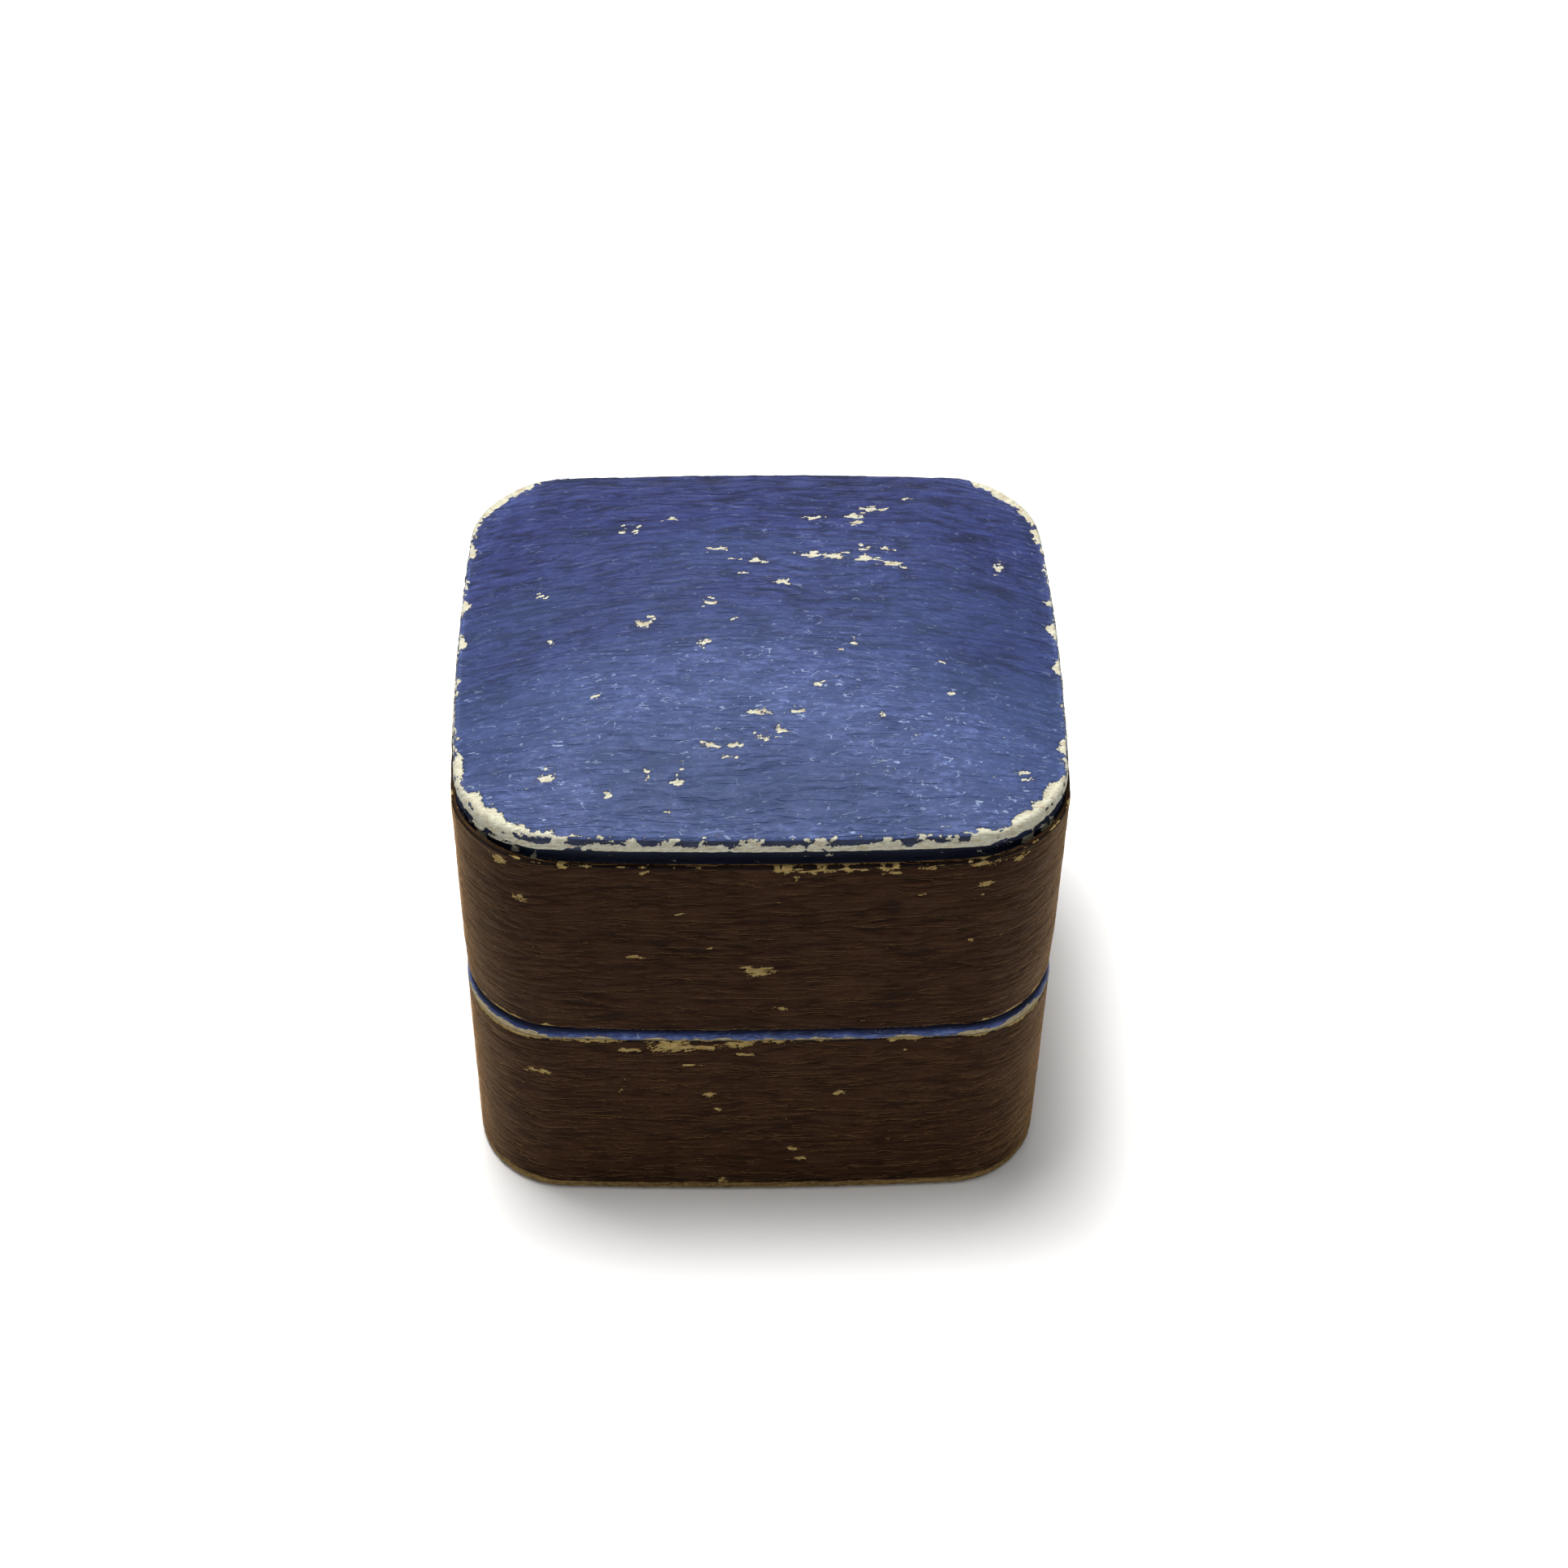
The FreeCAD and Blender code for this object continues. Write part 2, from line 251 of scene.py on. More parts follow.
def sweep(paths, columns):
    """Points of a sweep, rows x columns x 3, from paths of (inset, z), rows x columns x 2."""
    _, xy, normal = columns
    flat = xy[None] - paths[..., :1] * normal[None]
    return np.concatenate([flat, paths[..., 1:]], axis=-1)


def normals_of(grid):
    """Unit normals of a grid that is closed both ways. They point out of an anticlockwise sweep."""
    across = np.roll(grid, -1, axis=1) - np.roll(grid, 1, axis=1)
    up = np.roll(grid, -1, axis=0) - np.roll(grid, 1, axis=0)
    normal = np.cross(across, up)
    return normal / np.maximum(np.linalg.norm(normal, axis=-1, keepdims=True), 1e-9)


# ---------------------------------------------------------------- meshes


def make_piece(name, points, faces, body, material, replaces, attributes=None):
    """A piece from points in millimetres. It rides on a body and stands for CAD nodes."""
    mesh = bpy.data.meshes.new(name)
    mesh.from_pydata((np.asarray(points) * MM).tolist(), [], faces)
    mesh.validate()
    mesh.shade_smooth()
    for key, values in (attributes or {}).items():
        values = np.asarray(values, np.float32)
        vector = values.ndim == 2
        layer = mesh.attributes.new(key, "FLOAT_VECTOR" if vector else "FLOAT", "POINT")
        layer.data.foreach_set("vector" if vector else "value", values.ravel())
    mesh.materials.append(material)
    piece = bpy.data.objects.new(name, mesh)
    bpy.context.scene.collection.objects.link(piece)
    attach(piece, body)
    if replaces:
        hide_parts(*replaces)
    return piece


def torus_faces(rows, columns, start=0):
    """Quads of a grid closed both ways."""
    r, c = np.meshgrid(np.arange(rows), np.arange(columns), indexing="ij")
    r2, c2 = (r + 1) % rows, (c + 1) % columns
    quads = np.stack([r * columns + c, r * columns + c2, r2 * columns + c2, r2 * columns + c], axis=-1)
    return (quads.reshape(-1, 4) + start).tolist()


def band_faces(rows, columns, start=0):
    """Quads of a grid closed round its columns only."""
    r, c = np.meshgrid(np.arange(rows - 1), np.arange(columns), indexing="ij")
    c2 = (c + 1) % columns
    quads = [r * columns + c, r * columns + c2, (r + 1) * columns + c2, (r + 1) * columns + c]
    return (np.stack(quads, axis=-1).reshape(-1, 4) + start).tolist()


# ---------------------------------------------------------------- wear


def with_crumbs(chips, seed):
    """The chips, each with smaller ones flaked off beside it."""
    rng = np.random.default_rng(seed)
    crumbs = []
    for u, v, long, high in chips:
        for _ in range(2 if long > 0.7 else 1):
            away, size = rng.uniform(0.55, 1.0), rng.uniform(0.2, 0.45)
            turn = rng.uniform(0, 2 * math.pi)
            place = (u + away * long * math.cos(turn), v + away * high * 1.6 * math.sin(turn))
            crumbs.append((*place, max(long * size, 0.3), max(high * size, 0.22)))
    return chips + crumbs


def chip_field(u, v, chips, seed):
    """Above 0 inside a chip, in mm in from its torn edge. Chips are (u, v, long, high)."""
    rag = 0.55 * noise(u / 0.7, v / 0.34, seed) + 0.5 * noise(u / 0.3, v / 0.18, seed + 1)
    u, v = u + 0.3 * noise(u / 0.6, v / 0.5, seed + 2), v + 0.22 * noise(u / 0.7, v / 0.9, seed + 3)
    field = np.full(np.shape(u), -1.0)
    for cu, cv, long, high in chips:
        away = np.hypot((u - cu) / (long / 2), (v - cv) / (high / 2))
        field = np.maximum(field, (0.85 * (1 - away) + 1.15 * rag) * 0.3)
    return field


def scatter(count, u_range, v_range, long, high, seed):
    """Small chips strewn at random, as (u, v, long, high)."""
    rng = np.random.default_rng(seed)
    size = rng.uniform(0.35, 1.0, count) ** 2
    u, v = rng.uniform(*u_range, count), rng.uniform(*v_range, count)
    return [(u[k], v[k], long * size[k], high * size[k]) for k in range(count)]


# Chips in the top, as (x, y, long, high)
TOP_CHIPS = [
    (-9.4, -0.6, 1.3, 0.9), (-4.4, -3.0, 0.9, 0.6), (-2.2, -0.4, 0.5, 0.3), (4.7, 13.2, 1.2, 0.4),
    (8.3, 13.4, 1.2, 0.7), (9.8, 14.6, 2.0, 0.5), (8.4, 12.5, 1.1, 0.4), (4.6, 7.6, 1.8, 0.4),
    (6.3, 7.4, 1.6, 0.6), (9.0, 7.2, 1.6, 0.5), (11.2, 6.8, 1.3, 0.5), (8.9, 8.6, 1.2, 0.3),
    (10.7, 8.6, 1.0, 0.4), (-16.7, -16.2, 1.2, 0.6), (-6.5, -16.8, 0.7, 0.7), (-6.4, -16.0, 0.3, 0.8),
    (-9.0, -15.9, 0.6, 0.5), (-12.0, -18.0, 0.4, 0.35), (-7.3, -19.5, 0.35, 0.4), (20.7, -15.5, 1.3, 0.5),
    (-0.6, -10.6, 1.1, 0.35), (0.4, -10.6, 0.7, 0.4), (2.9, -10.5, 1.0, 0.45), (1.4, -12.2, 1.2, 0.5),
    (0.2, -12.9, 0.9, 0.4), (-2.1, -13.6, 0.9, 0.4), (-4.0, -13.6, 1.1, 0.5), (-2.8, -14.6, 0.9, 0.3),
    (9.6, -10.8, 0.5, 0.6), (4.5, -7.7, 0.7, 0.5), (20.2, 8.0, 0.9, 0.9), (-10.1, 11.1, 0.6, 0.6),
    (-11.2, 11.3, 0.5, 0.6), (-3.6, 8.6, 1.4, 0.35), (-1.9, 7.1, 0.8, 0.35), (0.1, 6.9, 1.0, 0.6),
    (-1.0, 5.2, 0.7, 0.3), (2.0, 4.1, 1.0, 0.6), (-4.0, 1.6, 1.0, 0.5), (-16.9, -1.6, 0.6, 0.4),
    (7.6, -3.0, 0.5, 0.4), (6.5, -4.0, 0.5, 0.3), (-13.0, -8.6, 0.7, 0.3), (14.5, -4.5, 0.5, 0.3),
    (13.0, 16.6, 0.7, 0.3), (-18.0, 4.0, 0.9, 0.3), (15.3, -8.0, 0.5, 0.3), (-7.0, 13.0, 0.9, 0.25),
]
# Chips in the front, as (x, z, long, high)
LID_FRONT_CHIPS = [
    (-0.2, 29.6, 1.8, 0.9), (-1.4, 30.1, 1.3, 0.35), (-10.1, 31.4, 1.1, 0.5), (17.6, 39.7, 1.3, 0.7),
    (-19.2, 38.0, 0.9, 0.7), (1.5, 25.0, 1.2, 0.3), (16.9, 33.0, 0.4, 0.4), (-6.5, 36.6, 0.9, 0.3),
    (12.5, 38.6, 0.5, 0.4), (-4.2, 32.6, 0.4, 0.3), (17.4, 38.4, 0.5, 0.3),
]
LID_EDGE_CHIPS = [
    (-9.1, 41.6, 0.9, 0.35), (2.0, 41.9, 2.1, 0.7), (4.3, 41.7, 2.4, 0.5), (6.9, 41.8, 2.6, 0.4),
    (9.8, 41.8, 1.7, 0.45), (10.1, 41.3, 1.0, 0.3), (12.9, 41.8, 1.5, 0.4), (2.6, 41.0, 0.4, 0.8),
    (17.4, 42.0, 2.3, 0.5), (-15.6, 42.0, 0.9, 0.5), (20.2, 41.9, 1.2, 0.6), (-20.6, 41.8, 1.2, 0.7),
]
BASE_FRONT_CHIPS = [
    (-18.6, 16.2, 2.1, 0.6), (-7.5, 20.1, 3.2, 1.5), (-10.9, 19.5, 1.8, 0.5), (-1.8, 20.3, 2.6, 0.8),
    (-4.5, 19.9, 3.2, 0.4), (-1.3, 19.0, 1.5, 0.4), (-5.7, 17.6, 1.2, 0.35), (1.5, 20.7, 1.5, 0.6),
    (-13.6, 20.7, 4.2, 0.5), (11.2, 20.8, 1.5, 0.5), (12.7, 20.8, 1.5, 0.6), (-4.3, 13.5, 1.0, 0.5),
    (6.6, 13.7, 1.0, 0.5), (-3.5, 11.6, 0.8, 0.3), (2.8, 6.0, 0.6, 0.9), (3.5, 4.5, 0.9, 0.5),
    (-3.2, 1.4, 0.6, 0.9), (-11.7, 14.1, 0.4, 0.4), (10.5, 19.3, 0.4, 0.3), (12.0, 19.3, 0.4, 0.3),
]


# ---------------------------------------------------------------- materials


class Shader:
    """A node material, with short calls for the nodes used here. Values are sockets or numbers."""

    def __init__(self, name):
        self.material = bpy.data.materials.new(name)
        self.material.use_nodes = True
        self.tree = self.material.node_tree
        self.tree.nodes.clear()
        self.bsdf = self.tree.nodes.new("ShaderNodeBsdfPrincipled")
        output = self.tree.nodes.new("ShaderNodeOutputMaterial")
        self.tree.links.new(self.bsdf.outputs[0], output.inputs[0])

    def set(self, socket, value):
        if isinstance(value, bpy.types.NodeSocket):
            self.tree.links.new(value, socket)
        else:
            socket.default_value = value

    def attribute(self, name, output="Fac"):
        node = self.tree.nodes.new("ShaderNodeAttribute")
        node.attribute_name = name
        return node.outputs[output]

    def place(self, stretch=(1, 1, 1)):
        """Object coordinates in millimetres."""
        node = self.tree.nodes.new("ShaderNodeTexCoord")
        return self.stretched(node.outputs["Object"], [s / MM for s in stretch])

    def stretched(self, vector, scale, offset=(0, 0, 0), turn=0.0):
        """A vector scaled, turned in its own plane and moved."""
        node = self.tree.nodes.new("ShaderNodeMapping")
        node.inputs["Rotation"].default_value = (0, 0, turn)
        self.set(node.inputs["Vector"], vector)
        node.inputs["Scale"].default_value = scale
        node.inputs["Location"].default_value = offset
        return node.outputs[0]

    def noise(self, vector, scale, detail=3.0, roughness=0.55, distortion=0.0):
        node = self.tree.nodes.new("ShaderNodeTexNoise")
        self.set(node.inputs["Vector"], vector)
        node.inputs["Scale"].default_value = scale
        node.inputs["Detail"].default_value = detail
        node.inputs["Roughness"].default_value = roughness
        node.inputs["Distortion"].default_value = distortion
        return node.outputs["Fac"]

    def times(self, a, b, clamp=False):
        return self.math("MULTIPLY", a, b, clamp)

    def plus(self, a, b):
        return self.math("ADD", a, b)

    def minus(self, a, b):
        return self.math("SUBTRACT", a, b)

    def hairline(self, value, wide, narrow):
        """1 along the thin lines where a noise crosses its middle, 0 beyond wide of it."""
        away = self.math("ABSOLUTE", self.minus(value, 0.5))
        return self.span(away, wide, narrow)

    def math(self, operation, a, b=0.0, clamp=False):
        node = self.tree.nodes.new("ShaderNodeMath")
        node.operation = operation
        node.use_clamp = clamp
        self.set(node.inputs[0], a)
        self.set(node.inputs[1], b)
        return node.outputs[0]

    def span(self, value, low, high, to_low=0.0, to_high=1.0):
        """value eased from one span to another."""
        node = self.tree.nodes.new("ShaderNodeMapRange")
        node.interpolation_type = "SMOOTHSTEP"
        self.set(node.inputs["Value"], value)
        node.inputs["From Min"].default_value = low
        node.inputs["From Max"].default_value = high
        node.inputs["To Min"].default_value = to_low
        node.inputs["To Max"].default_value = to_high
        return node.outputs["Result"]

    def paint(self, socket, colour):
        """Sets a colour socket from a socket or an (r, g, b)."""
        self.set(socket, colour if isinstance(colour, bpy.types.NodeSocket) else (*colour, 1))

    def mix(self, share, a, b):
        """Two colours mixed."""
        node = self.tree.nodes.new("ShaderNodeMix")
        node.data_type = "RGBA"
        self.set(node.inputs[0], share)
        self.paint(node.inputs[6], a)
        self.paint(node.inputs[7], b)
        return node.outputs[2]

    def bump(self, height, distance_mm, strength):
        node = self.tree.nodes.new("ShaderNodeBump")
        self.set(node.inputs["Height"], height)
        node.inputs["Distance"].default_value = distance_mm * MM
        node.inputs["Strength"].default_value = strength
        return node.outputs[0]

    def finish(self, colour, roughness, normal=None, **settings):
        """The material, with the surface's settings by name."""
        self.paint(self.bsdf.inputs["Base Color"], colour)
        self.set(self.bsdf.inputs["Roughness"], roughness)
        if normal is not None:
            self.set(self.bsdf.inputs["Normal"], normal)
        for name, value in settings.items():
            self.bsdf.inputs[name.replace("_", " ")].default_value = value
        return self.material


def leatherette(name, colours, sheen, specular):
    """Long-grain leatherette that is rubbed on its ridges and worn through to its paper backing.

    Reads from the mesh: grain (mm along and across the ridges), ridge (0 in the creases to 1), rub, a
    darkening and a fade (0 to 1) and bare (mm inside a worn-through patch). The darkening is mostly painted
    shade in grooves, gaps and under edges, and also darker bottom edges; the fade is faded dye with a
    painted lighter front on the top, and a painted golden sheen on the brown sides. The creases' darker and
    the ridges' lighter colour are painted shade and highlight. sheen is its weight, roughness and tint.
    """
    s = Shader(name)
    weight, spread, tint = sheen
    grain = s.attribute("grain", "Vector")
    ridge = s.attribute("ridge")
    rub = s.attribute("rub")

    pores = s.noise(s.stretched(grain, (1.3, 4.0, 1)), 1.0, 4.0, 0.65)
    lines = s.noise(s.stretched(grain, (0.22, 2.2, 1)), 1.0, 4.0, 0.6, 0.3)
    clouds = s.noise(grain, 0.16, 3.0, 0.55)
    specks = s.noise(grain, 5.5, 3.0, 0.6)

    fine = s.plus(s.times(lines, 0.8), s.times(pores, 0.45))
    height = s.plus(s.times(ridge, 0.85), s.minus(fine, 0.65))
    # Painted shade and highlight: colour darker low in the relief and lighter high on it
    colour = s.mix(s.span(height, 0.0, 0.5), colours["dark_and_shade"], colours["main"])
    colour = s.mix(s.span(height, 0.4, 0.85), colour, colours["ridge_highlight"])
    colour = s.mix(s.times(s.attribute("fade_and_painted_light"), 0.72), colour, colours["faded_and_lit"])

    # Creases that come and go, darkened in colour as painted shade
    crack = s.noise(s.stretched(grain, (0.10, 0.95, 1), (2.0, 8.0, 0)), 1.0, 3.0, 0.5, 0.15)
    crack = s.hairline(crack, 0.028, 0.004)
    broken = s.span(s.noise(s.stretched(grain, (0.3, 1.1, 1), (9.0, 4.0, 0)), 1.0, 2.0, 0.5), 0.40, 0.55)
    crack = s.times(crack, broken)
    crease_shade = s.times(crack, s.span(s.attribute("fade_and_painted_light"), 0.0, 0.9, 0.7, 0.22))
    colour = s.mix(crease_shade, colour, colours["dark_and_shade"])
    colour = s.mix(s.span(clouds, 0.45, 0.7, 0.0, 0.18), colour, colours["dark_and_shade"])
    colour = s.mix(s.times(rub, 0.22), colour, colours["rubbed"])

    # Scuffs: pale mottling where it has been rubbed, and hair-thin scratches
    scuff = s.noise(s.stretched(grain, (0.9, 2.6, 1), (7.1, 3.3, 0)), 1.0, 6.0, 0.74, 0.8)
    scuffed = s.times(s.span(scuff, 0.44, 0.68), rub)
    scuffed = s.times(scuffed, s.span(height, 0.15, 0.55, 0.3, 0.9), clamp=True)
    colour = s.mix(scuffed, colour, colours["rubbed"])
    hair = 0.0
    for turn, long in ((0.15, 0.3), (0.9, 0.5), (-0.7, 0.4)):
        line = s.noise(s.stretched(grain, (long, 1.3, 1), (3.0 + turn, 19.0, 0), turn), 1.0, 1.0, 0.5, 0.5)
        line = s.hairline(line, 0.016, 0.002)
        short = s.noise(s.stretched(grain, (0.9, 1.6, 1), (7.0, 5.0 + turn, 0), turn), 1.0, 2.0, 0.6)
        hair = s.math("MAXIMUM", hair, s.times(line, s.span(short, 0.57, 0.64)))
    hair = s.times(hair, s.span(rub, 0.0, 0.7, 0.12, 0.7))
    colour = s.mix(hair, colour, colours["scratch"])

    # Worn through to the backing
    edge = s.plus(s.attribute("bare"), s.times(s.minus(specks, 0.5), 0.5))
    worn = s.span(edge, -0.015, 0.05)
    fleck = s.noise(s.stretched(grain, (1.5, 4.0, 1), (31.0, 17.0, 0)), 1.0, 3.0, 0.6, 1.2)
    fleck = s.times(s.span(fleck, 0.695, 0.73), s.span(rub, 0.15, 0.7, 0.0, 0.85), clamp=True)
    worn = s.math("MAXIMUM", worn, fleck)
    fibre = s.noise(s.stretched(grain, (1.0, 2.0, 1)), 2.2, 5.0, 0.72)
    backing = s.mix(s.span(fibre, 0.34, 0.66), colours["bare_deep"], colours["bare"])
    stain = s.noise(s.stretched(grain, (0.8, 1.4, 1), (5.0, 11.0, 0)), 1.1, 4.0, 0.65)
    backing = s.mix(s.span(stain, 0.5, 0.66, 0.0, 0.6), backing, colours["stain"])
    rim = s.times(s.span(edge, -0.15, -0.02), s.span(edge, 0.03, -0.02))
    colour = s.mix(s.times(rim, 0.6), colour, colours["dark_and_shade"])
    # Darkened as the mesh says: mostly painted shade in grooves, gaps and under edges, and darker bottom
    # edges
    colour = s.mix(s.attribute("shade_and_dirt"), colour, colours["dirt_and_shade_tone"])
    colour = s.mix(worn, colour, backing)

    roughness = s.span(height, 0.1, 0.9, 0.62, 0.46)
    roughness = s.math("MAXIMUM", roughness, s.times(worn, 0.9))
    relief = s.plus(s.times(lines, 0.7), s.times(pores, 0.6))
    relief = s.minus(relief, s.times(crack, 0.35))
    relief = s.minus(relief, s.times(worn, 0.4))
    relief = s.plus(relief, s.times(s.times(fibre, worn), 0.4))
    return s.finish(
        colour, roughness, s.bump(relief, 0.16, 0.9),
        Specular_IOR_Level=specular, Sheen_Weight=weight, Sheen_Roughness=spread, Sheen_Tint=(*tint, 1),
    )


def velvet():
    """Blue cotton velvet, paler where its pile is rubbed. Reads rub from the mesh."""
    s = Shader("blue_velvet")
    place = s.place()
    pile = s.noise(place, 5.0, 3.0, 0.75)
    tufts = s.noise(place, 1.6, 4.0, 0.7)
    nap = s.noise(s.stretched(place, (1, 1, 0.5)), 0.16, 2.0, 0.45)
    colour = s.mix(s.span(tufts, 0.35, 0.65), (0.005, 0.010, 0.055), (0.011, 0.022, 0.105))
    colour = s.mix(s.span(nap, 0.4, 0.65, 0.0, 0.3), colour, (0.020, 0.038, 0.16))
    colour = s.mix(s.span(pile, 0.48, 0.75, 0.0, 0.6), colour, (0.028, 0.050, 0.20))
    colour = s.mix(s.times(s.attribute("rub"), 0.7, clamp=True), colour, (0.075, 0.10, 0.24))
    relief = s.plus(s.times(tufts, 0.8), pile)
    return s.finish(
        colour, 0.95, s.bump(relief, 0.16, 0.9),
        Specular_IOR_Level=0.08, Sheen_Weight=1.0, Sheen_Roughness=0.25, Sheen_Tint=(0.22, 0.34, 0.95, 1),
    )


def satin():
    """Ivory satin, aged and a little spotted."""
    s = Shader("ivory_satin")
    place = s.place()
    weft = s.noise(s.stretched(place, (1.2, 16, 16)), 1.0, 2.0, 0.5)
    warp = s.noise(s.stretched(place, (16, 1.2, 1.2)), 1.0, 2.0, 0.5)
    age = s.noise(place, 0.05, 3.0, 0.5)
    spots = s.noise(place, 0.8, 3.0, 0.6)
    colour = s.mix(s.span(age, 0.4, 0.7), (0.80, 0.72, 0.56), (0.70, 0.60, 0.42))
    colour = s.mix(s.span(spots, 0.72, 0.8, 0.0, 0.45), colour, (0.42, 0.29, 0.15))
    threads = s.plus(s.times(warp, 0.5), weft)
    colour = s.mix(s.span(threads, 0.6, 0.95, 0.0, 0.3), colour, (0.95, 0.89, 0.76))
    return s.finish(
        colour, s.span(weft, 0.3, 0.7, 0.26, 0.4), s.bump(threads, 0.03, 0.7),
        Specular_IOR_Level=0.65, Sheen_Weight=0.3, Sheen_Roughness=0.3, Sheen_Tint=(1, 0.95, 0.85, 1),
        Anisotropic=0.5,
    )


def brass():
    s = Shader("aged_brass")
    place = s.place()
    tarnish = s.noise(place, 0.9, 5.0, 0.65, 0.5)
    scratches = s.noise(s.stretched(place, (0.8, 9, 9)), 1.0, 4.0, 0.6)
    colour = s.mix(s.span(tarnish, 0.4, 0.66), (0.62, 0.42, 0.15), (0.13, 0.085, 0.04))
    roughness = s.span(s.plus(tarnish, s.times(scratches, 0.3)), 0.4, 0.9, 0.26, 0.62)
    return s.finish(colour, roughness, s.bump(scratches, 0.02, 0.5), Metallic=1.0)


def wood():
    s = Shader("bare_wood")
    place = s.place()
    rings = s.noise(s.stretched(place, (0.12, 1.0, 1.3)), 1.0, 4.0, 0.6, 1.4)
    pores = s.noise(s.stretched(place, (0.5, 9, 9)), 1.0, 3.0, 0.6)
    colour = s.mix(s.span(rings, 0.35, 0.65), (0.30, 0.17, 0.075), (0.52, 0.34, 0.17))
    colour = s.mix(s.span(pores, 0.55, 0.75, 0.0, 0.5), colour, (0.16, 0.085, 0.035))
    return s.finish(colour, 0.75, s.bump(pores, 0.05, 0.7), Specular_IOR_Level=0.25)


def board(name, pale, dark):
    """Bare fibrous card, in plies."""
    s = Shader(name)
    place = s.place()
    plies = s.noise(s.stretched(place, (0.35, 0.35, 7)), 1.0, 3.0, 0.6)
    fibres = s.noise(place, 2.6, 6.0, 0.72)
    colour = s.mix(s.span(s.plus(plies, fibres), 0.75, 1.25), dark, pale)
    relief = s.plus(plies, fibres)
    return s.finish(colour, 0.9, s.bump(relief, 0.08, 0.8), Specular_IOR_Level=0.15)


def paper():
    s = Shader("lining_paper")
    place = s.place()
    fibres = s.noise(place, 1.8, 6.0, 0.7, 0.5)
    stains = s.noise(place, 0.12, 4.0, 0.6)
    colour = s.mix(s.span(fibres, 0.35, 0.68), (0.045, 0.032, 0.022), (0.10, 0.078, 0.055))
    colour = s.mix(s.span(stains, 0.5, 0.75, 0.0, 0.6), colour, (0.17, 0.13, 0.085))
    return s.finish(colour, 0.85, s.bump(fibres, 0.04, 0.8), Specular_IOR_Level=0.2)


# In these sets the ridges' colour is a painted highlight, the creases' dark colour partly painted shade and
# the darkest colour mostly painted shade; the blue's pale tone is faded dye and a painted lighter front, the
# brown's a painted golden sheen
BLUE_COLOURS = {
    "dark_and_shade": (0.006, 0.009, 0.040), "main": (0.018, 0.025, 0.110), "ridge_highlight": (0.033, 0.046, 0.175),
    "faded_and_lit": (0.027, 0.050, 0.126), "rubbed": (0.105, 0.148, 0.36), "scratch": (0.30, 0.38, 0.56),
    "bare": (0.62, 0.61, 0.49), "bare_deep": (0.43, 0.41, 0.31), "stain": (0.36, 0.27, 0.15),
    "dirt_and_shade_tone": (0.002, 0.004, 0.018),
}
RIM_COLOURS = {
    **BLUE_COLOURS,
    "dark_and_shade": (0.003, 0.009, 0.06), "main": (0.010, 0.027, 0.16), "ridge_highlight": (0.05, 0.085, 0.28),
    "bare": (0.50, 0.43, 0.27), "bare_deep": (0.28, 0.21, 0.11), "rubbed": (0.16, 0.23, 0.48),
}
BROWN_COLOURS = {
    "dark_and_shade": (0.015, 0.0056, 0.0026), "main": (0.031, 0.0118, 0.0046), "ridge_highlight": (0.042, 0.0178, 0.0078),
    "faded_and_lit": (0.112, 0.066, 0.029), "rubbed": (0.078, 0.040, 0.019), "scratch": (0.080, 0.047, 0.024),
    "bare": (0.43, 0.33, 0.135), "bare_deep": (0.25, 0.165, 0.055), "stain": (0.33, 0.20, 0.065),
    "dirt_and_shade_tone": (0.004, 0.003, 0.0035),
}
COOL_SHEEN = (0.1, 0.4, (0.6, 0.7, 1.0))
WARM_SHEEN = (0.8, 0.2, (1.0, 0.56, 0.22))
BLUE = leatherette("blue_leatherette", BLUE_COLOURS, COOL_SHEEN, 0.24)
BLUE_RIM = leatherette("blue_rim_leatherette", RIM_COLOURS, COOL_SHEEN, 0.2)
BROWN = leatherette("brown_leatherette", BROWN_COLOURS, WARM_SHEEN, 0.03)
VELVET = velvet()
SATIN = satin()
BRASS = brass()
WOOD = wood()
BOARD = board("bare_board", (0.33, 0.215, 0.08), (0.11, 0.065, 0.022))
CARD = board("hidden_card", (0.42, 0.36, 0.27), (0.28, 0.22, 0.15))
PAPER = paper()


# ---------------------------------------------------------------- the lid's top


def square_sides(across, along):
    """Distances round the outline of a square grid's edge, side after side from the back left corner."""
    stops = [*PLAN.corners, PLAN.corners[0] + PLAN.length]
    counts = (along, across, along, across)
    return [np.linspace(stops[k], stops[k + 1], counts[k] + 1) for k in range(4)]


def coons_grid(inset, across, along):
    """A grid of (x, y) points that fills the plan at that inset, from the front left corner."""

    def edge(distances):
        xy, normal = PLAN.at(distances)
        return xy - inset * normal

    left, front, right, back = [edge(d) for d in square_sides(across, along)]
    left, back = left[::-1], back[::-1]
    u = np.linspace(0, 1, across + 1)[None, :, None]
    v = np.linspace(0, 1, along + 1)[:, None, None]
    ruled = (1 - v) * front[None] + v * back[None] + (1 - u) * left[:, None] + u * right[:, None]
    corners = (1 - u) * (1 - v) * front[0] + u * (1 - v) * front[-1]
    corners = corners + (1 - u) * v * back[0] + u * v * back[-1]
    return ruled - corners


def grid_edge(across, along):
    """Indices of a grid's edge, anticlockwise from its back left corner, and distances round the outline."""
    index = np.arange((across + 1) * (along + 1)).reshape(along + 1, across + 1)
    loops = [index[::-1, 0], index[0], index[:, -1], index[-1, ::-1]]
    ids = np.concatenate([loop[:-1] for loop in loops])
    distances = np.concatenate([side[:-1] for side in square_sides(across, along)])
    return ids, distances


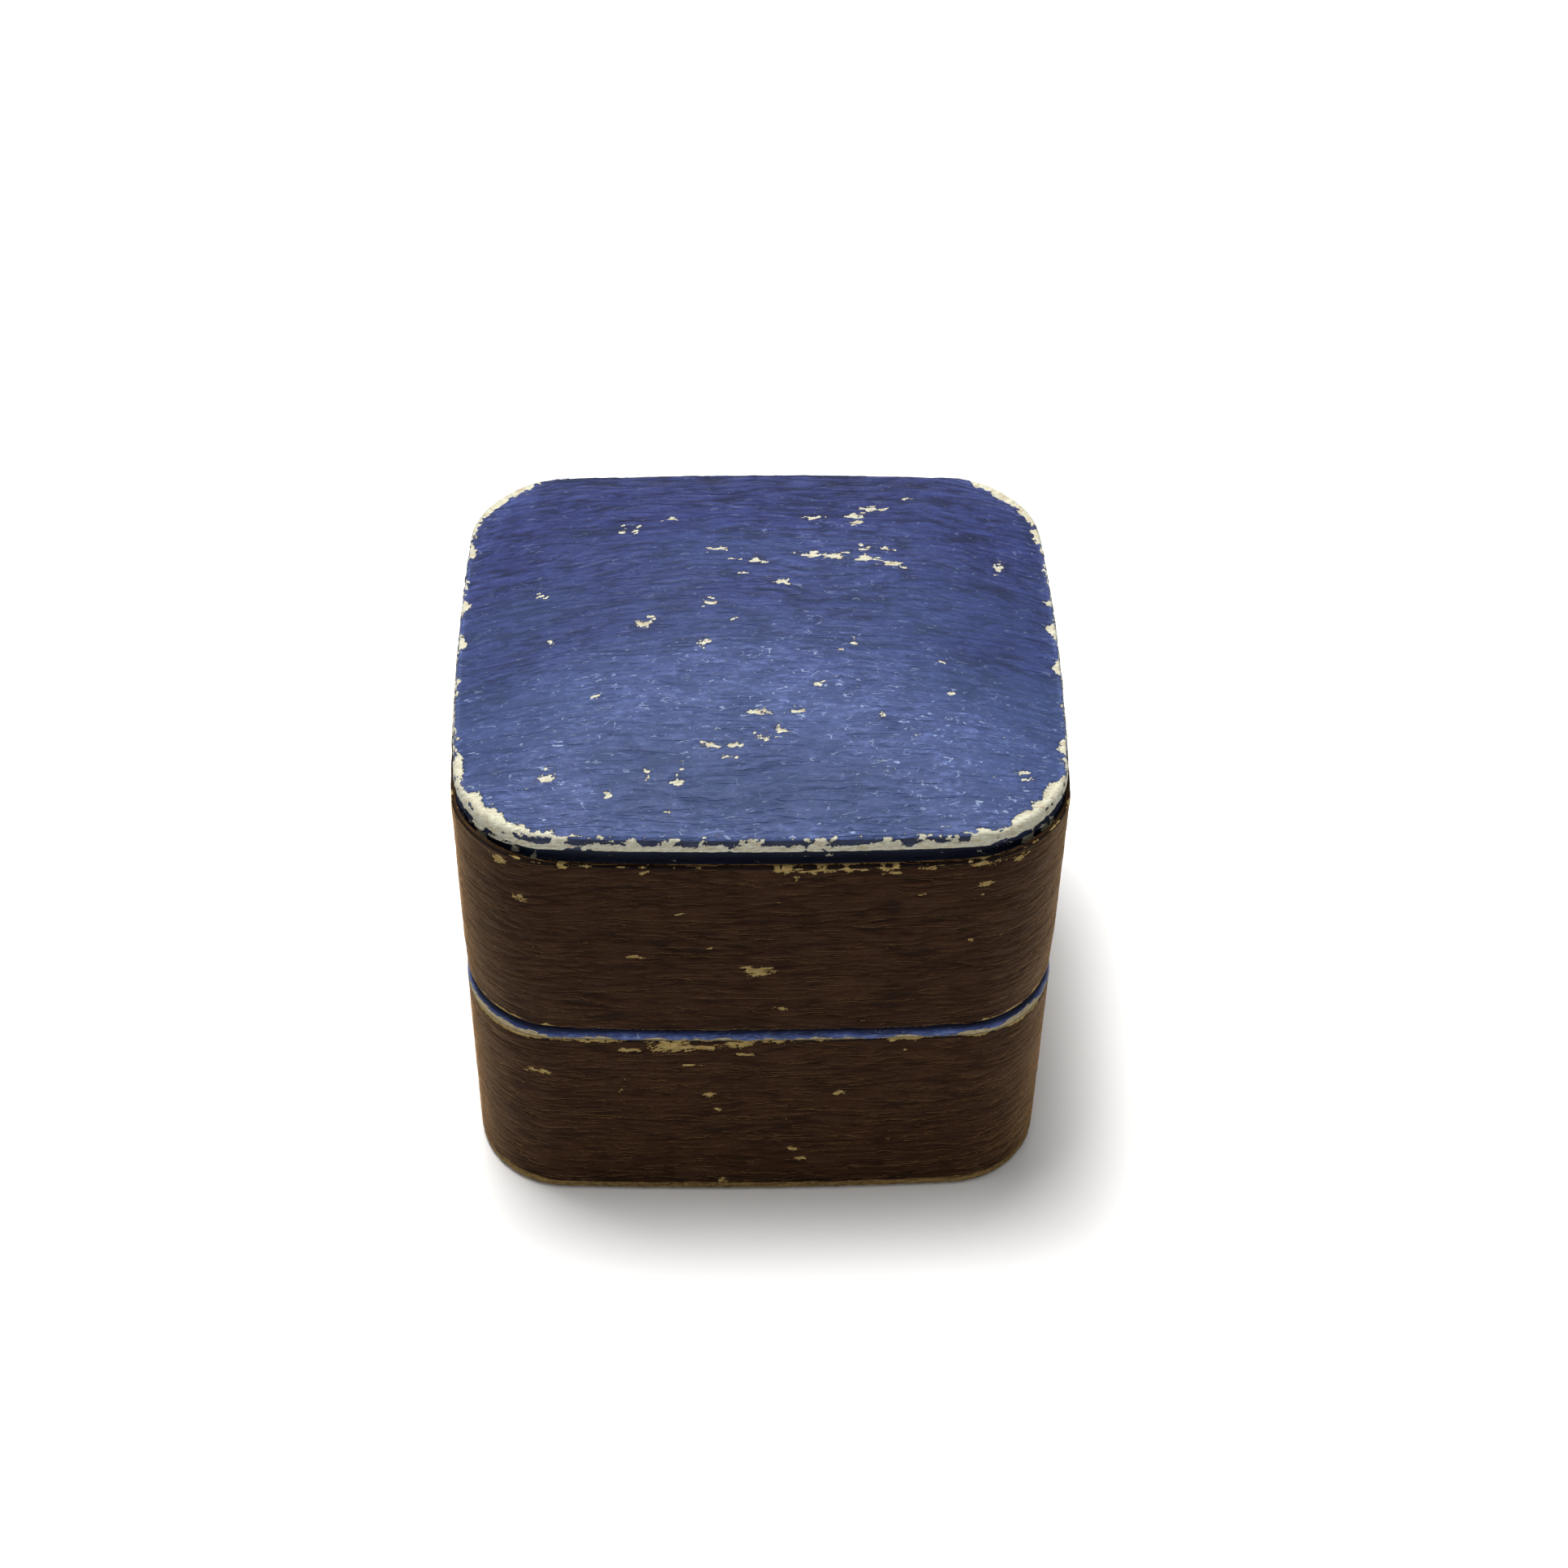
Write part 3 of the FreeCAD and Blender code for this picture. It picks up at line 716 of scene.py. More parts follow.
def nearest_edge(xy):
    """How far round the outline each point's nearest edge point is, and how far in from it the point is."""
    points = xy.reshape(-1, 2)
    nearest, inset = np.zeros(len(points)), np.full(len(points), 9.0)
    close = np.flatnonzero(share_of(points, 0.0) > 0.74)
    for part in np.array_split(close, 50):
        k = ((points[part, None] - DENSE_XY[None]) ** 2).sum(axis=-1).argmin(axis=1)
        nearest[part] = k * PLAN.length / len(DENSE_XY)
        inset[part] = ((DENSE_XY[k] - points[part]) * DENSE_NORMAL[k]).sum(axis=-1)
    return nearest.reshape(xy.shape[:-1]), inset.reshape(xy.shape[:-1])


def edge_kinds(along):
    """How much a place round the outline is a corner, a side, the front and the back, each 0 to 1."""
    corner = PLAN.cornerness(along, 5.6)
    _, normal = PLAN.at(along)
    side = normal[..., 0] ** 2 * (1 - corner)
    front = np.maximum(-normal[..., 1], 0) ** 2 * (1 - corner)
    back = np.maximum(normal[..., 1], 0) ** 2 * (1 - corner)
    return corner, side, front, back


def top_wear(along, inward):
    """How far inside the worn edge a point of the top is, in mm. inward is measured in from the arris."""
    corner, side, front, back = edge_kinds(along)
    width = 0.8 * corner + 0.02 * side - 0.12 * front - 0.5 * back
    swing = 0.35 * corner + 0.8 * side + 0.25 * front + 0.2 * back
    ragged = noise(along / 2.3, 0.25 * inward, 51) * swing
    ragged = ragged + 0.40 * noise(along / 0.8, 0.8 * inward, 52)
    ragged = ragged + 0.30 * noise(along / 0.4, inward / 0.25, 53)
    return width + ragged - inward


def bead_wear(along, down):
    """The same for the edge's side: mottled at the front, bare at the corners, sound at the back."""
    corner, side, front, back = edge_kinds(along)
    level = -0.25 * corner - 0.1 * side - 0.10 * front - 0.45 * back
    level = level + 0.5 * smoothstep(0.45, 0.95, down) * front
    level = level + 0.75 * smoothstep(1.3, 0.8, down) * corner
    return level + 0.5 * noise(along / 1.5, down / 0.8, 61) + 0.4 * noise(along / 0.45, down / 0.35, 62)


def rub_of(x, y):
    """Where the top has been rubbed pale, 0 to 1: across its crown, and most of all at the front right."""
    # Rubbed spots, as (x, y, half length, half width, strength)
    spots = [
        (3, -8, 11, 6, 0.75), (16, -14, 7, 5, 0.8), (-12, -9, 8, 5, 0.5), (6, 8, 10, 5, 0.25),
        (-17, -17, 5, 4, 0.6),
    ]
    rub = sum(w * np.exp(-(((x - a) / c) ** 2) - ((y - b) / d) ** 2) for a, b, c, d, w in spots)
    return np.clip(0.10 + rub * (1 + 0.5 * noise(x / 4, y / 3, 71)), 0, 1)


ARRIS_INSET = BEAD_INSET + 0.42  # where the top turns over into its edge
TOP_NECK = GROOVE + COVER - 0.02  # inset of the covering's hidden face inside the groove


def edge_profile(edge_z):
    """The top's profile from the arris down, in (inset, z).

    Also how many of its points are shown, and how many come before the groove.
    """
    under = LID_EDGE - BEAD_T
    ledge = LID_HIGH[2]
    foot = COVER_LOW[2]
    out = BEAD_INSET
    shoulder = curve((ARRIS_INSET, edge_z), (out + 0.02, LID_EDGE + 0.03), (out, LID_EDGE - 0.42), 9)[1:]
    belly = np.array([(out - 0.02, LID_EDGE - 0.6), (out - 0.03, LID_EDGE - 0.8), (out, under + 0.32)])
    tuck = curve((out, under + 0.2), (out, under), (out + 0.2, under), 5)
    wall = [(GROOVE - 0.02, under), (GROOVE, under - 0.1)]
    wall += [(GROOVE, ledge + 0.35), (GROOVE - 0.06, ledge + 0.06)]
    shelf = [(0.7, ledge + 0.01), (COVER + 0.02, ledge - 0.03), (COVER + 0.02, foot + 0.02)]
    shown = np.concatenate([shoulder, belly, tuck, wall, shelf])
    path = np.concatenate([shown, [(TOP_NECK, foot + 0.02), (TOP_NECK, LID_EDGE - COVER)]])
    return path, len(shown), len(shoulder) + len(belly) + 1


def top_faces(across, along, ids, rows, count):
    """Faces of the top's grid, of the seam to its skirt, of the skirt and of the fan that closes it."""
    r, c = np.meshgrid(np.arange(along), np.arange(across), indexing="ij")
    a = r * (across + 1) + c
    faces = np.stack([a, a + 1, a + across + 2, a + across + 1], axis=-1).reshape(-1, 4).tolist()
    start, n = (across + 1) * (along + 1), len(ids)
    first = start + np.arange(n)
    faces += np.stack([ids, first, np.roll(first, -1), np.roll(ids, -1)], axis=-1).tolist()
    faces += [q[::-1] for q in band_faces(rows, n, start)]
    last = start + (rows - 1) * n + np.arange(n)
    faces += np.stack([last, np.full(n, count - 1), np.roll(last, -1)], axis=-1).tolist()
    return faces


def top_underside(columns):
    """Loops that follow the board's top, ending in the middle point that closes them."""
    loops = []
    for share in (0.985, 0.93, 0.84, 0.7, 0.52, 0.34, 0.16):
        xy = (columns[1] - TOP_NECK * columns[2]) * share
        z = LID_EDGE - COVER + 0.03 + CROWN * (1 - share**DOME_POWER)
        loops.append(np.column_stack([xy, np.full(len(xy), z)]))
    return loops, [[0, 0, LID_EDGE - COVER + CROWN]]


def lid_top():
    """The top's covering: dome, rounded edge, groove under it darkened with painted shade, and ledge over
    the lid's sides.
    """
    across, along = 180, 350
    flat = coons_grid(ARRIS_INSET, across, along)
    top = np.dstack([flat, dome_z(flat)])
    ids, distances = grid_edge(across, along)
    columns = (distances, *PLAN.at(distances))
    rim = top.reshape(-1, 3)[ids]
    edge_z = rim[:, 2].mean()
    path, shown, above_groove = edge_profile(edge_z)
    paths = np.repeat(path[:, None], len(ids), axis=1)
    skirt = sweep(paths, columns)

    # Grain coordinates run on over the edge as if the covering were unrolled
    steps = np.hypot(*np.diff(np.vstack([[(ARRIS_INSET, edge_z)], path]), axis=0).T)
    down = np.cumsum(steps)[:, None] * np.ones(len(ids))
    skirt_flat = rim[None, :, :2] + down[..., None] * columns[2][None]
    grain = np.concatenate([flat.reshape(-1, 2), skirt_flat.reshape(-1, 2)])
    x, y = grain.T
    ridge = long_grain(x, y + 0.0016 * x * x, 11)

    nearest, inset = nearest_edge(flat)
    arris = 0.36
    inward = inset - ARRIS_INSET + arris
    round_edge = distances[None] * np.ones_like(down)
    on_top = top_wear(nearest, inward)
    over_edge = np.where(
        down < arris, top_wear(round_edge, np.maximum(arris - down, 0)), bead_wear(round_edge, down - arris)
    )
    groove = (down > down[above_groove]) * 1.0
    in_groove = 0.4 * PLAN.cornerness(round_edge, 4.5) - 0.35 + 0.5 * noise(round_edge / 1.1, down / 0.6, 63)
    bare = np.concatenate([on_top.ravel(), np.where(groove > 0, in_groove, over_edge).ravel()])
    bare = np.maximum(bare, chip_field(x, y, with_crumbs(TOP_CHIPS, 20), 21))

    corner, side, front, back = edge_kinds(nearest)
    near_edge = np.exp(-np.maximum(inward, 0) / 1.4)
    rub = rub_of(flat[..., 0], flat[..., 1]) + near_edge * (0.9 * corner + 0.3 * side + 0.8 * front)
    corner, side, front, back = edge_kinds(round_edge)
    rub = np.concatenate([rub.ravel(), ((1 - groove) * (down < arris + 0.1)).ravel()])
    # Darker along the back arris; below the arris the edge's side is darkened with painted shade, and the
    # groove under it darker still
    dark_back = 0.75 * smoothstep(0.55, 0.1, inward + 0.25 * noise(nearest / 1.2, 0 * nearest, 54))
    dark_back = dark_back * edge_kinds(nearest)[3]
    dark_side = np.where(down < arris + 0.1, 0.75 * back, 0.62 + 0.3 * noise(round_edge / 1.5, down, 55))
    dark_edge = np.where(groove > 0, 0.93, np.clip(dark_side, 0, 0.8))
    shade_and_dirt = np.concatenate([dark_back.ravel(), dark_edge.ravel()])
    # Paler and greener towards the front: partly faded dye, partly a painted lighter front
    fade_and_painted_light = np.clip(0.5 - y / 26 + 0.35 * noise(x / 9, y / 6, 72), 0, 1)

    dome_normal = np.cross(np.gradient(top, axis=1), np.gradient(top, axis=0))
    dome_normal /= np.linalg.norm(dome_normal, axis=-1, keepdims=True)
    skirt_normal = normals_of(np.concatenate([rim[None], skirt]))[1:]
    normal = np.concatenate([dome_normal.reshape(-1, 3), skirt_normal.reshape(-1, 3)])
    lost = smoothstep(-0.06, 0.1, bare)
    height = 0.13 * (ridge - 0.6) * (1 - 0.85 * lost) - 0.09 * lost
    height = height + 0.03 * noise(x / 0.5, y / 0.45, 31) * lost
    hidden = np.repeat(np.arange(len(path)) >= shown - 3, len(ids))
    height[flat.shape[0] * flat.shape[1] :][hidden] = 0
    points = np.concatenate([top.reshape(-1, 3), skirt.reshape(-1, 3)]) + normal * height[:, None]

    # The plate's corners are blunter than the box's
    blunt = np.concatenate(
        [
            (PLAN.cornerness(nearest, 4.5) * smoothstep(5, 1, inset)).ravel(),
            (PLAN.cornerness(round_edge, 4.5) * (1 - groove)).ravel(),
        ]
    )
    outward = np.concatenate([PLAN.at(nearest)[1].reshape(-1, 2), np.tile(columns[2], (len(path), 1))])
    points[:, :2] -= outward * (0.36 * blunt)[:, None]

    loops, middle = top_underside(columns)
    points = np.concatenate([points, *loops, middle])
    faces = top_faces(across, along, ids, len(path) + len(loops), len(points))

    rest = np.zeros(len(points) - len(grain))
    attributes = {"ridge": ridge, "rub": rub, "shade_and_dirt": shade_and_dirt, "bare": bare, "fade_and_painted_light": fade_and_painted_light}
    attributes = {key: np.concatenate([values, rest]) for key, values in attributes.items()}
    attributes["grain"] = np.pad(grain, ((0, len(rest)), (0, 1)))
    return make_piece(
        "lid_top_leatherette", points, faces, "lid", BLUE, ["lid_top_cover"], attributes
    )


# ---------------------------------------------------------------- sides


def bevel_z(y, side, depth=0.0):
    """Height of a rear bevel at y: above the hinge axis for the lid (1), below it for the base (-1)."""
    tip = AXIS_Y - depth / math.sin(BEVEL)
    return AXIS_Z + side * np.maximum(y - tip, 0) * math.tan(BEVEL)


def side_wear(u, v, seed):
    """Sparse flecks all over a side: above 0 inside one."""
    return 0.9 * (noise(u / 0.9, v / 0.45, seed) - 0.93)


def side_cover(name, node, body, low_z, high_z, front_chips, seed, worn_top, tucked=0.0):
    """A side covering between edges at these heights, one for each column. Its lower corners tuck in."""
    count, rows = SIDE_COLUMNS, 142
    columns = PLAN.columns(count)
    along = columns[0]
    t = np.linspace(0, 1, rows)[:, None]
    outer_low, outer_high = low_z + 0.12, high_z - 0.12
    face = np.dstack([np.zeros((rows, count)), outer_low + t * (outer_high - outer_low)])

    def row(inset, z):
        return np.dstack([np.full((1, count), inset), z[None]])

    start = [row(0.13, low_z), row(0.035, low_z + 0.035)]
    end = [row(0.035, high_z - 0.035), row(0.12, high_z), row(COVER, high_z)]
    tuck = tucked * PLAN.cornerness(along, 6.0)
    paths = np.concatenate(start + [face] + end + [row(COVER, low_z)])
    lower = smoothstep(5.5, 0.0, paths[..., 1] - low_z[None])
    paths[..., 0] += np.where(paths[..., 0] < COVER, tuck[None] * lower, 0)
    shown = len(start) + rows + 2
    grid = sweep(paths, columns)

    u = along[None] * np.ones((len(paths), 1))
    v = paths[..., 1] - paths[..., 0]
    ridge = long_grain(u, v, seed)
    x = grid[..., 0]
    on_front = grid[..., 1] < 7 - DEPTH / 2
    chips = np.where(on_front, chip_field(x, v, front_chips, seed + 20), -1.0)
    around = scatter(46, (0, PLAN.length), (low_z.min(), high_z.max()), 1.5, 0.65, seed + 30)
    around = [c for c in around if not PLAN.corners[1] - 3 < c[0] < PLAN.corners[2] + 3]
    chips = np.maximum(chips, chip_field(u, v, around, seed + 40))
    bare = np.maximum(chips, side_wear(u, v, seed + 50))
    low_gap, high_gap = v - low_z[None], high_z[None] - v
    corner = PLAN.cornerness(along, 5.0)[None]
    nibble = 0.30 * noise(u / 1.4, v / 2, seed + 60) + 0.2 * noise(u / 0.4, v / 0.4, seed + 61)
    bare = np.maximum(bare, nibble + worn_top * (0.15 + corner) - 0.05 - 1.1 * high_gap)
    bare = np.maximum(bare, nibble - 0.02 + 0.15 * corner - 1.1 * low_gap)

    lost = smoothstep(-0.06, 0.1, bare)
    height = 0.11 * (ridge - 0.65) * (1 - 0.8 * lost) - 0.08 * lost
    height[shown:] = 0
    grid = grid + normals_of(grid) * height[..., None]
    rub = 0.12 + 0.45 * corner + 0.15 * noise(u / 9, v / 5, seed + 70)
    # Darker towards the bottom edge in patches and along it; along the top edge, painted shade under the
    # lid's overhanging edge, and on the base a dark joint under the rim
    shade_and_dirt = 0.3 * smoothstep(3.0, 0.0, low_gap) * (0.6 + noise(u / 5, v / 2, seed + 71))
    shade_and_dirt = np.maximum(shade_and_dirt, 0.6 * smoothstep(0.25, 0.05, low_gap))
    shade_and_dirt = np.maximum(shade_and_dirt, 0.85 * smoothstep(0.4, 0.1, high_gap))
    # Painted golden sheen on the sides that face left and right
    sheen_sides = smoothstep(0.45, 1.0, np.abs(columns[2][:, 0]))[None]
    fade_and_painted_light = sheen_sides * (0.85 + 0.3 * noise(u / 6, v / 3, seed + 72))
    return make_piece(
        name, grid.reshape(-1, 3), torus_faces(len(paths), count), body, BROWN, [node],
        {
            "grain": np.dstack([u, v, np.zeros_like(u)]).reshape(-1, 3),
            "ridge": ridge.ravel(),
            "rub": np.clip(rub, 0, 1).ravel(),
            "shade_and_dirt": np.clip(shade_and_dirt, 0, 1).ravel(),
            "bare": bare.ravel(),
            "fade_and_painted_light": np.clip(fade_and_painted_light, 0, 1).ravel(),
        },
    )


def sides():
    """The lid's and the base's side coverings. The lid's rises a little at its corners, close to the top."""
    along, xy, _ = PLAN.columns(SIDE_COLUMNS)
    y = xy[:, 1]
    seam = np.maximum(bevel_z(y, 1), LID_LOW[2])
    top = LID_HIGH[2] + 0.8 * PLAN.cornerness(along, 5.5)
    lid_chips = LID_FRONT_CHIPS + LID_EDGE_CHIPS
    side_cover("lid_side_leatherette", "lid_side_wrap", "lid", seam, top, lid_chips, 101, 0.08, 0.26)
    rim = np.minimum(bevel_z(y, -1, 2 * COVER), SIDE_HIGH[2])
    floor = np.full(SIDE_COLUMNS, SIDE_LOW[2])
    side_cover("base_side_leatherette", "base_side_wrap", "base", floor, rim, BASE_FRONT_CHIPS, 301, 0.5)


# ---------------------------------------------------------------- rims


def past_seat(path, y_outer, side, radius):
    """Takes a rim's path round the barrel's seat instead of through it."""
    y, z = y_outer - path[:, 0] - AXIS_Y, path[:, 1] - AXIS_Z
    inside = np.flatnonzero(np.hypot(y, z) < radius)
    if not len(inside):
        return path
    first, last = inside[0], inside[-1]
    start, end = (math.degrees(math.atan2(z[k], y[k])) for k in (first, last))
    if side < 0:
        start, end = start % -360, end % -360
    else:
        start, end = start % 360, end % 360
    around = arc((0, 0), radius, start, end, 24)
    around = np.column_stack([y_outer - AXIS_Y - around[:, 0], AXIS_Z + around[:, 1]])
    return np.concatenate([path[:first], around, path[last + 1 :]])


def rim_cover(name, node, body, side, front, back, seed):
    """A rim's strip: front and back are its shown and hidden paths, before the rear bevel is cut."""
    count, shown, hidden = RIM_COLUMNS, 52, 14
    skins = ((front, REST_GAP, SEAT_R), (back, COVER + REST_GAP, SEAT_R + 0.25))
    columns = PLAN.columns(count)
    along, xy, _ = columns
    paths = np.zeros((shown + hidden, count, 2))
    for k in range(count):
        y_outer = xy[k, 1]
        done = []
        for path, depth, seat in skins:
            path = resample(path, 160)
            limit = bevel_z(y_outer - path[:, 0], side, depth)
            path[:, 1] = np.maximum(path[:, 1], limit) if side > 0 else np.minimum(path[:, 1], limit)
            if abs(xy[k, 0]) < HINGE_HALF + SEAT_END and y_outer > 0:
                path = past_seat(path, y_outer, side, seat)
            done.append(path)
        paths[:shown, k] = resample(done[0], shown, 1.5)
        paths[shown:, k] = resample(done[1], hidden)
    grid = sweep(paths, columns)

    steps = np.hypot(*np.moveaxis(np.diff(paths[:shown], axis=0), -1, 0))
    over = np.concatenate([np.zeros((1, count)), np.cumsum(steps, axis=0)])
    over = np.concatenate([over, np.zeros((hidden, count))])
    u = along[None] * np.ones((shown + hidden, 1))
    ridge = long_grain(u, over, seed)
    corner = PLAN.cornerness(along, 5.0)[None]
    wear = 0.30 * noise(u / 1.9, over / 1.5, seed + 10) + 0.2 * noise(u / 0.5, over / 0.4, seed + 11)
    behind = smoothstep(0.6, 0.95, columns[2][:, 1])[None]
    reach = 0.2 + 0.6 * corner - 0.25 * behind + 0.35 * noise(u / 2.6, 0 * u, seed + 12)
    bare = np.where(over < 2.2, wear + reach - 1.3 * over, -1.0)
    # Painted shade where the strip runs into the gap between lid and base
    gap_shade = 0.9 * smoothstep(0.55, 0.95, over) * smoothstep(2.0, 1.3, over)
    lost = smoothstep(-0.06, 0.12, bare)
    height = 0.04 * (ridge - 0.5) * (1 - lost) - 0.07 * lost
    height[shown:] = 0
    height[[0, shown - 1]] = 0
    grid = grid - side_sign(grid) * normals_of(grid) * height[..., None]
    faces = torus_faces(shown + hidden, count)
    if side > 0:
        faces = [f[::-1] for f in faces]
    return make_piece(
        name, grid.reshape(-1, 3), faces, body, BLUE_RIM, [node],
        {
            "grain": np.dstack([u, over, np.zeros_like(u)]).reshape(-1, 3),
            "ridge": ridge.ravel(),
            "rub": (0.35 + 0.65 * smoothstep(0.8, 0.2, over) * np.ones_like(u)).ravel(),
            "shade_and_dirt": gap_shade.ravel(),
            "bare": bare.ravel(),
            "fade_and_painted_light": np.zeros(u.size),
        },
    )


def side_sign(grid):
    """-1 where a closed sweep's normals point out of it, 1 where they point in."""
    normal = normals_of(grid)
    middle = grid.mean(axis=0, keepdims=True)
    return 1.0 if ((grid - middle) * normal).sum() < 0 else -1.0


def rims():
    """The strips over the base's rounded rim and the lid's lower edge, each turned in over its wall."""
    top, low = BASE_RIM_HIGH[2], BASE_RIM_LOW[2]
    side_top = SIDE_HIGH[2]
    turn = RIM_ROUND
    front = np.concatenate(
        [
            [(0, side_top)],
            arc((turn, top - turn), turn, 180, 90, 40),
            arc((TURN_IN_INNER - 0.2, top - 0.2), 0.2, 90, 0, 6),
            [(TURN_IN_INNER, low)],
        ]
    )
    back = np.concatenate(
        [
            [(WALL_INNER, low), (WALL_INNER, top - COVER)],
            arc((turn, top - turn), turn - COVER, 90, 180, 10),
            [(COVER, side_top)],
        ]
    )
    rim_cover("base_rim_leatherette", "base_rim_strip", "base", -1, front, back, 501)
    low, high = LID_RIM_LOW[2], LID_RIM_HIGH[2]
    turned = [(TURN_IN_INNER - 0.1, low), (TURN_IN_INNER, low + 0.1), (TURN_IN_INNER, high)]
    front = np.array([(COVER, low), *turned])
    back = np.array([(WALL_INNER, high), (WALL_INNER, low + COVER), (COVER, low + COVER)])
    rim_cover("lid_rim_leatherette", "lid_rim_strip", "lid", 1, front, back, 601)


# ---------------------------------------------------------------- base panel


def bottom_panel():
    """The bare card under the base, its edge roughened by handling."""
    count = RIM_COLUMNS
    columns = PLAN.columns(count)
    along = columns[0]
    low, high = PANEL_LOW[2], PANEL_HIGH[2]
    inset = (WIDTH - (PANEL_HIGH - PANEL_LOW)[0]) / 2
    middle = (inset, (low + high) / 2)
    below = curve((inset + 0.22, low), (inset - 0.02, low), middle, 6)
    above = curve(middle, (inset, high), (inset + 0.2, high), 6)
    bow = np.concatenate([below, above[1:]])
    paths = np.repeat(bow[:, None], count, axis=1)
    grid = sweep(paths, columns)
    z = paths[..., 1]
    frayed = 0.05 * noise(along[None] / 0.8, z / 0.3, 81) + 0.03 * noise(along[None] / 0.3, z / 0.12, 82)
    outward = np.concatenate([columns[2], np.zeros((count, 1))], axis=1)
    grid = grid + outward[None] * np.minimum(frayed, 0.06)[..., None]
    shares = (0.15, 0.5, 0.9)
    under = [grid[0] * [s, s, 1] for s in shares]
    over = [grid[-1] * [s, s, 1] for s in reversed(shares)]
    loops = under + list(grid) + over
    points = np.concatenate(loops + [[[0, 0, high]], [[0, 0, low]]])
    rows = len(loops)
    faces = band_faces(rows, count)
    last = (rows - 1) * count
    top, bottom = rows * count, rows * count + 1
    faces += [(last + k, last + (k + 1) % count, top) for k in range(count)]
    faces += [((k + 1) % count, k, bottom) for k in range(count)]
    make_piece("base_bottom_card", points, faces, "base", BOARD, ["base_bottom_panel"])


# ---------------------------------------------------------------- linings


def closed_lining(name, node, body, material, front, back, ripple, attributes=None):
    """A lining swept round the plan: a shown path and a hidden one, with a ripple out of the shown face.

    attributes are functions of the distance round the plan and the path, by name.
    """
    count = 420
    columns = PLAN.columns(count)
    path = np.concatenate([front, back])
    paths = np.repeat(path[:, None], count, axis=1)
    grid = sweep(paths, columns)
    u = columns[0][None] * np.ones((len(path), 1))
    height = ripple(u, paths)
    height[len(front) - 1 :] = 0
    height[0] = 0
    grid = grid - side_sign(grid) * normals_of(grid) * height[..., None]
    extra = {key: make(u, paths).ravel() for key, make in (attributes or {}).items()}
    faces = torus_faces(len(path), count)
    return make_piece(name, grid.reshape(-1, 3), faces, body, material, [node], extra)


def collar():
    """Velvet folded over the standing collar, thin and worn along the fold."""
    low, high = COLLAR_LOW[2], COLLAR_HIGH[2]
    outer, inner = COLLAR_INSET + 0.02, COLLAR_INNER
    card_out = COLLAR_INSET + COLLAR_CARD[0] - 0.02
    card_in = COLLAR_INSET + COLLAR_CARD[1] + 0.02
    half = (inner - outer) / 2
    fold = arc((outer + half, high - half), half, 180, 0, 22)
    outside = resample(np.array([(outer, 15), (outer, high - half)]), 46)
    inside = resample(np.array([(inner, high - half), (inner, 12)]), 60)
    front = np.concatenate([[(outer, low)], outside, fold[1:-1], inside, [(inner, low)]])
    back = np.array([(card_in, low), (card_in, high - 0.42), (card_out, high - 0.42), (card_out, low)])

    def ripple(u, paths):
        z = paths[..., 1]
        return 0.05 * noise(u / 5, z / 3, 91) + 0.03 * noise(u / 0.8, z / 0.7, 92) - 0.05

    def worn(u, paths):
        z = paths[..., 1]
        return np.clip(smoothstep(high - 0.45, high - 0.1, z) * (0.25 + 0.3 * noise(u / 6, z, 93)), 0, 1)

    closed_lining(
        "collar_velvet_cloth", "collar_velvet", "base", VELVET, front, back, ripple,
        {"rub": worn},
    )


def lid_lining():
    """Satin up the inside of the lid, drawn a little where it was glued."""
    low, high = LINING_LOW[2], LINING_HIGH[2]
    roll = arc((LINING_INNER - 0.25, low + 0.25), 0.25, -90, 0, 8)
    face = resample(np.array([(LINING_INNER, low + 0.3), (LINING_INNER, high)]), 70)
    front = np.concatenate([[(WALL_INNER, low)], roll, face])
    behind = LINING_INNER - 0.28
    back = np.array([(behind, high), (behind, low + 0.3), (WALL_INNER, low + 0.3)])

    def ripple(u, paths):
        z = paths[..., 1]
        tucks = noise(u / 1.6, z / 16, 95) * smoothstep(low + 1, high, z)
        return 0.10 * tucks + 0.05 * noise(u / 6, z / 5, 96) - 0.06

    closed_lining("lid_lining_cloth", "lid_lining_satin", "lid", SATIN, front, back, ripple)


# ---------------------------------------------------------------- pads, by cloth simulation

SIM_SCALE = 25.0  # the cloth is simulated this much larger, which the solver likes better


def simulate_cloth(piece, pinned, frames, pressure, swell, stiffness):
    """Puffs a mesh with Blender's cloth, with swell of spare cloth. The points at pinned stay put."""
    group = piece.vertex_groups.new(name="pinned")
    group.add(pinned, 1.0, "REPLACE")
    cloth = piece.modifiers.new("cloth", "CLOTH")
    settings = cloth.settings
    settings.quality = 6
    settings.mass = 0.25
    settings.tension_stiffness = stiffness
    settings.compression_stiffness = stiffness
    settings.shear_stiffness = stiffness * 0.4
    settings.bending_stiffness = 0.3
    settings.air_damping = 4.0
    settings.vertex_group_mass = "pinned"
    settings.shrink_min = -swell
    settings.use_pressure = True
    settings.uniform_pressure_force = pressure
    settings.effector_weights.gravity = 0.0
    cloth.collision_settings.use_collision = False
    cloth.point_cache.frame_start = 1
    cloth.point_cache.frame_end = frames
    scene = bpy.context.scene
    for step in range(1, frames + 1):
        scene.frame_set(step)
    depsgraph = bpy.context.evaluated_depsgraph_get()
    settled = bpy.data.meshes.new_from_object(piece.evaluated_get(depsgraph))
    points = np.zeros(len(settled.vertices) * 3)
    settled.vertices.foreach_get("co", points)
    bpy.data.meshes.remove(settled)
    piece.modifiers.clear()
    piece.vertex_groups.clear()
    scene.frame_set(1)
    return points.reshape(-1, 3)


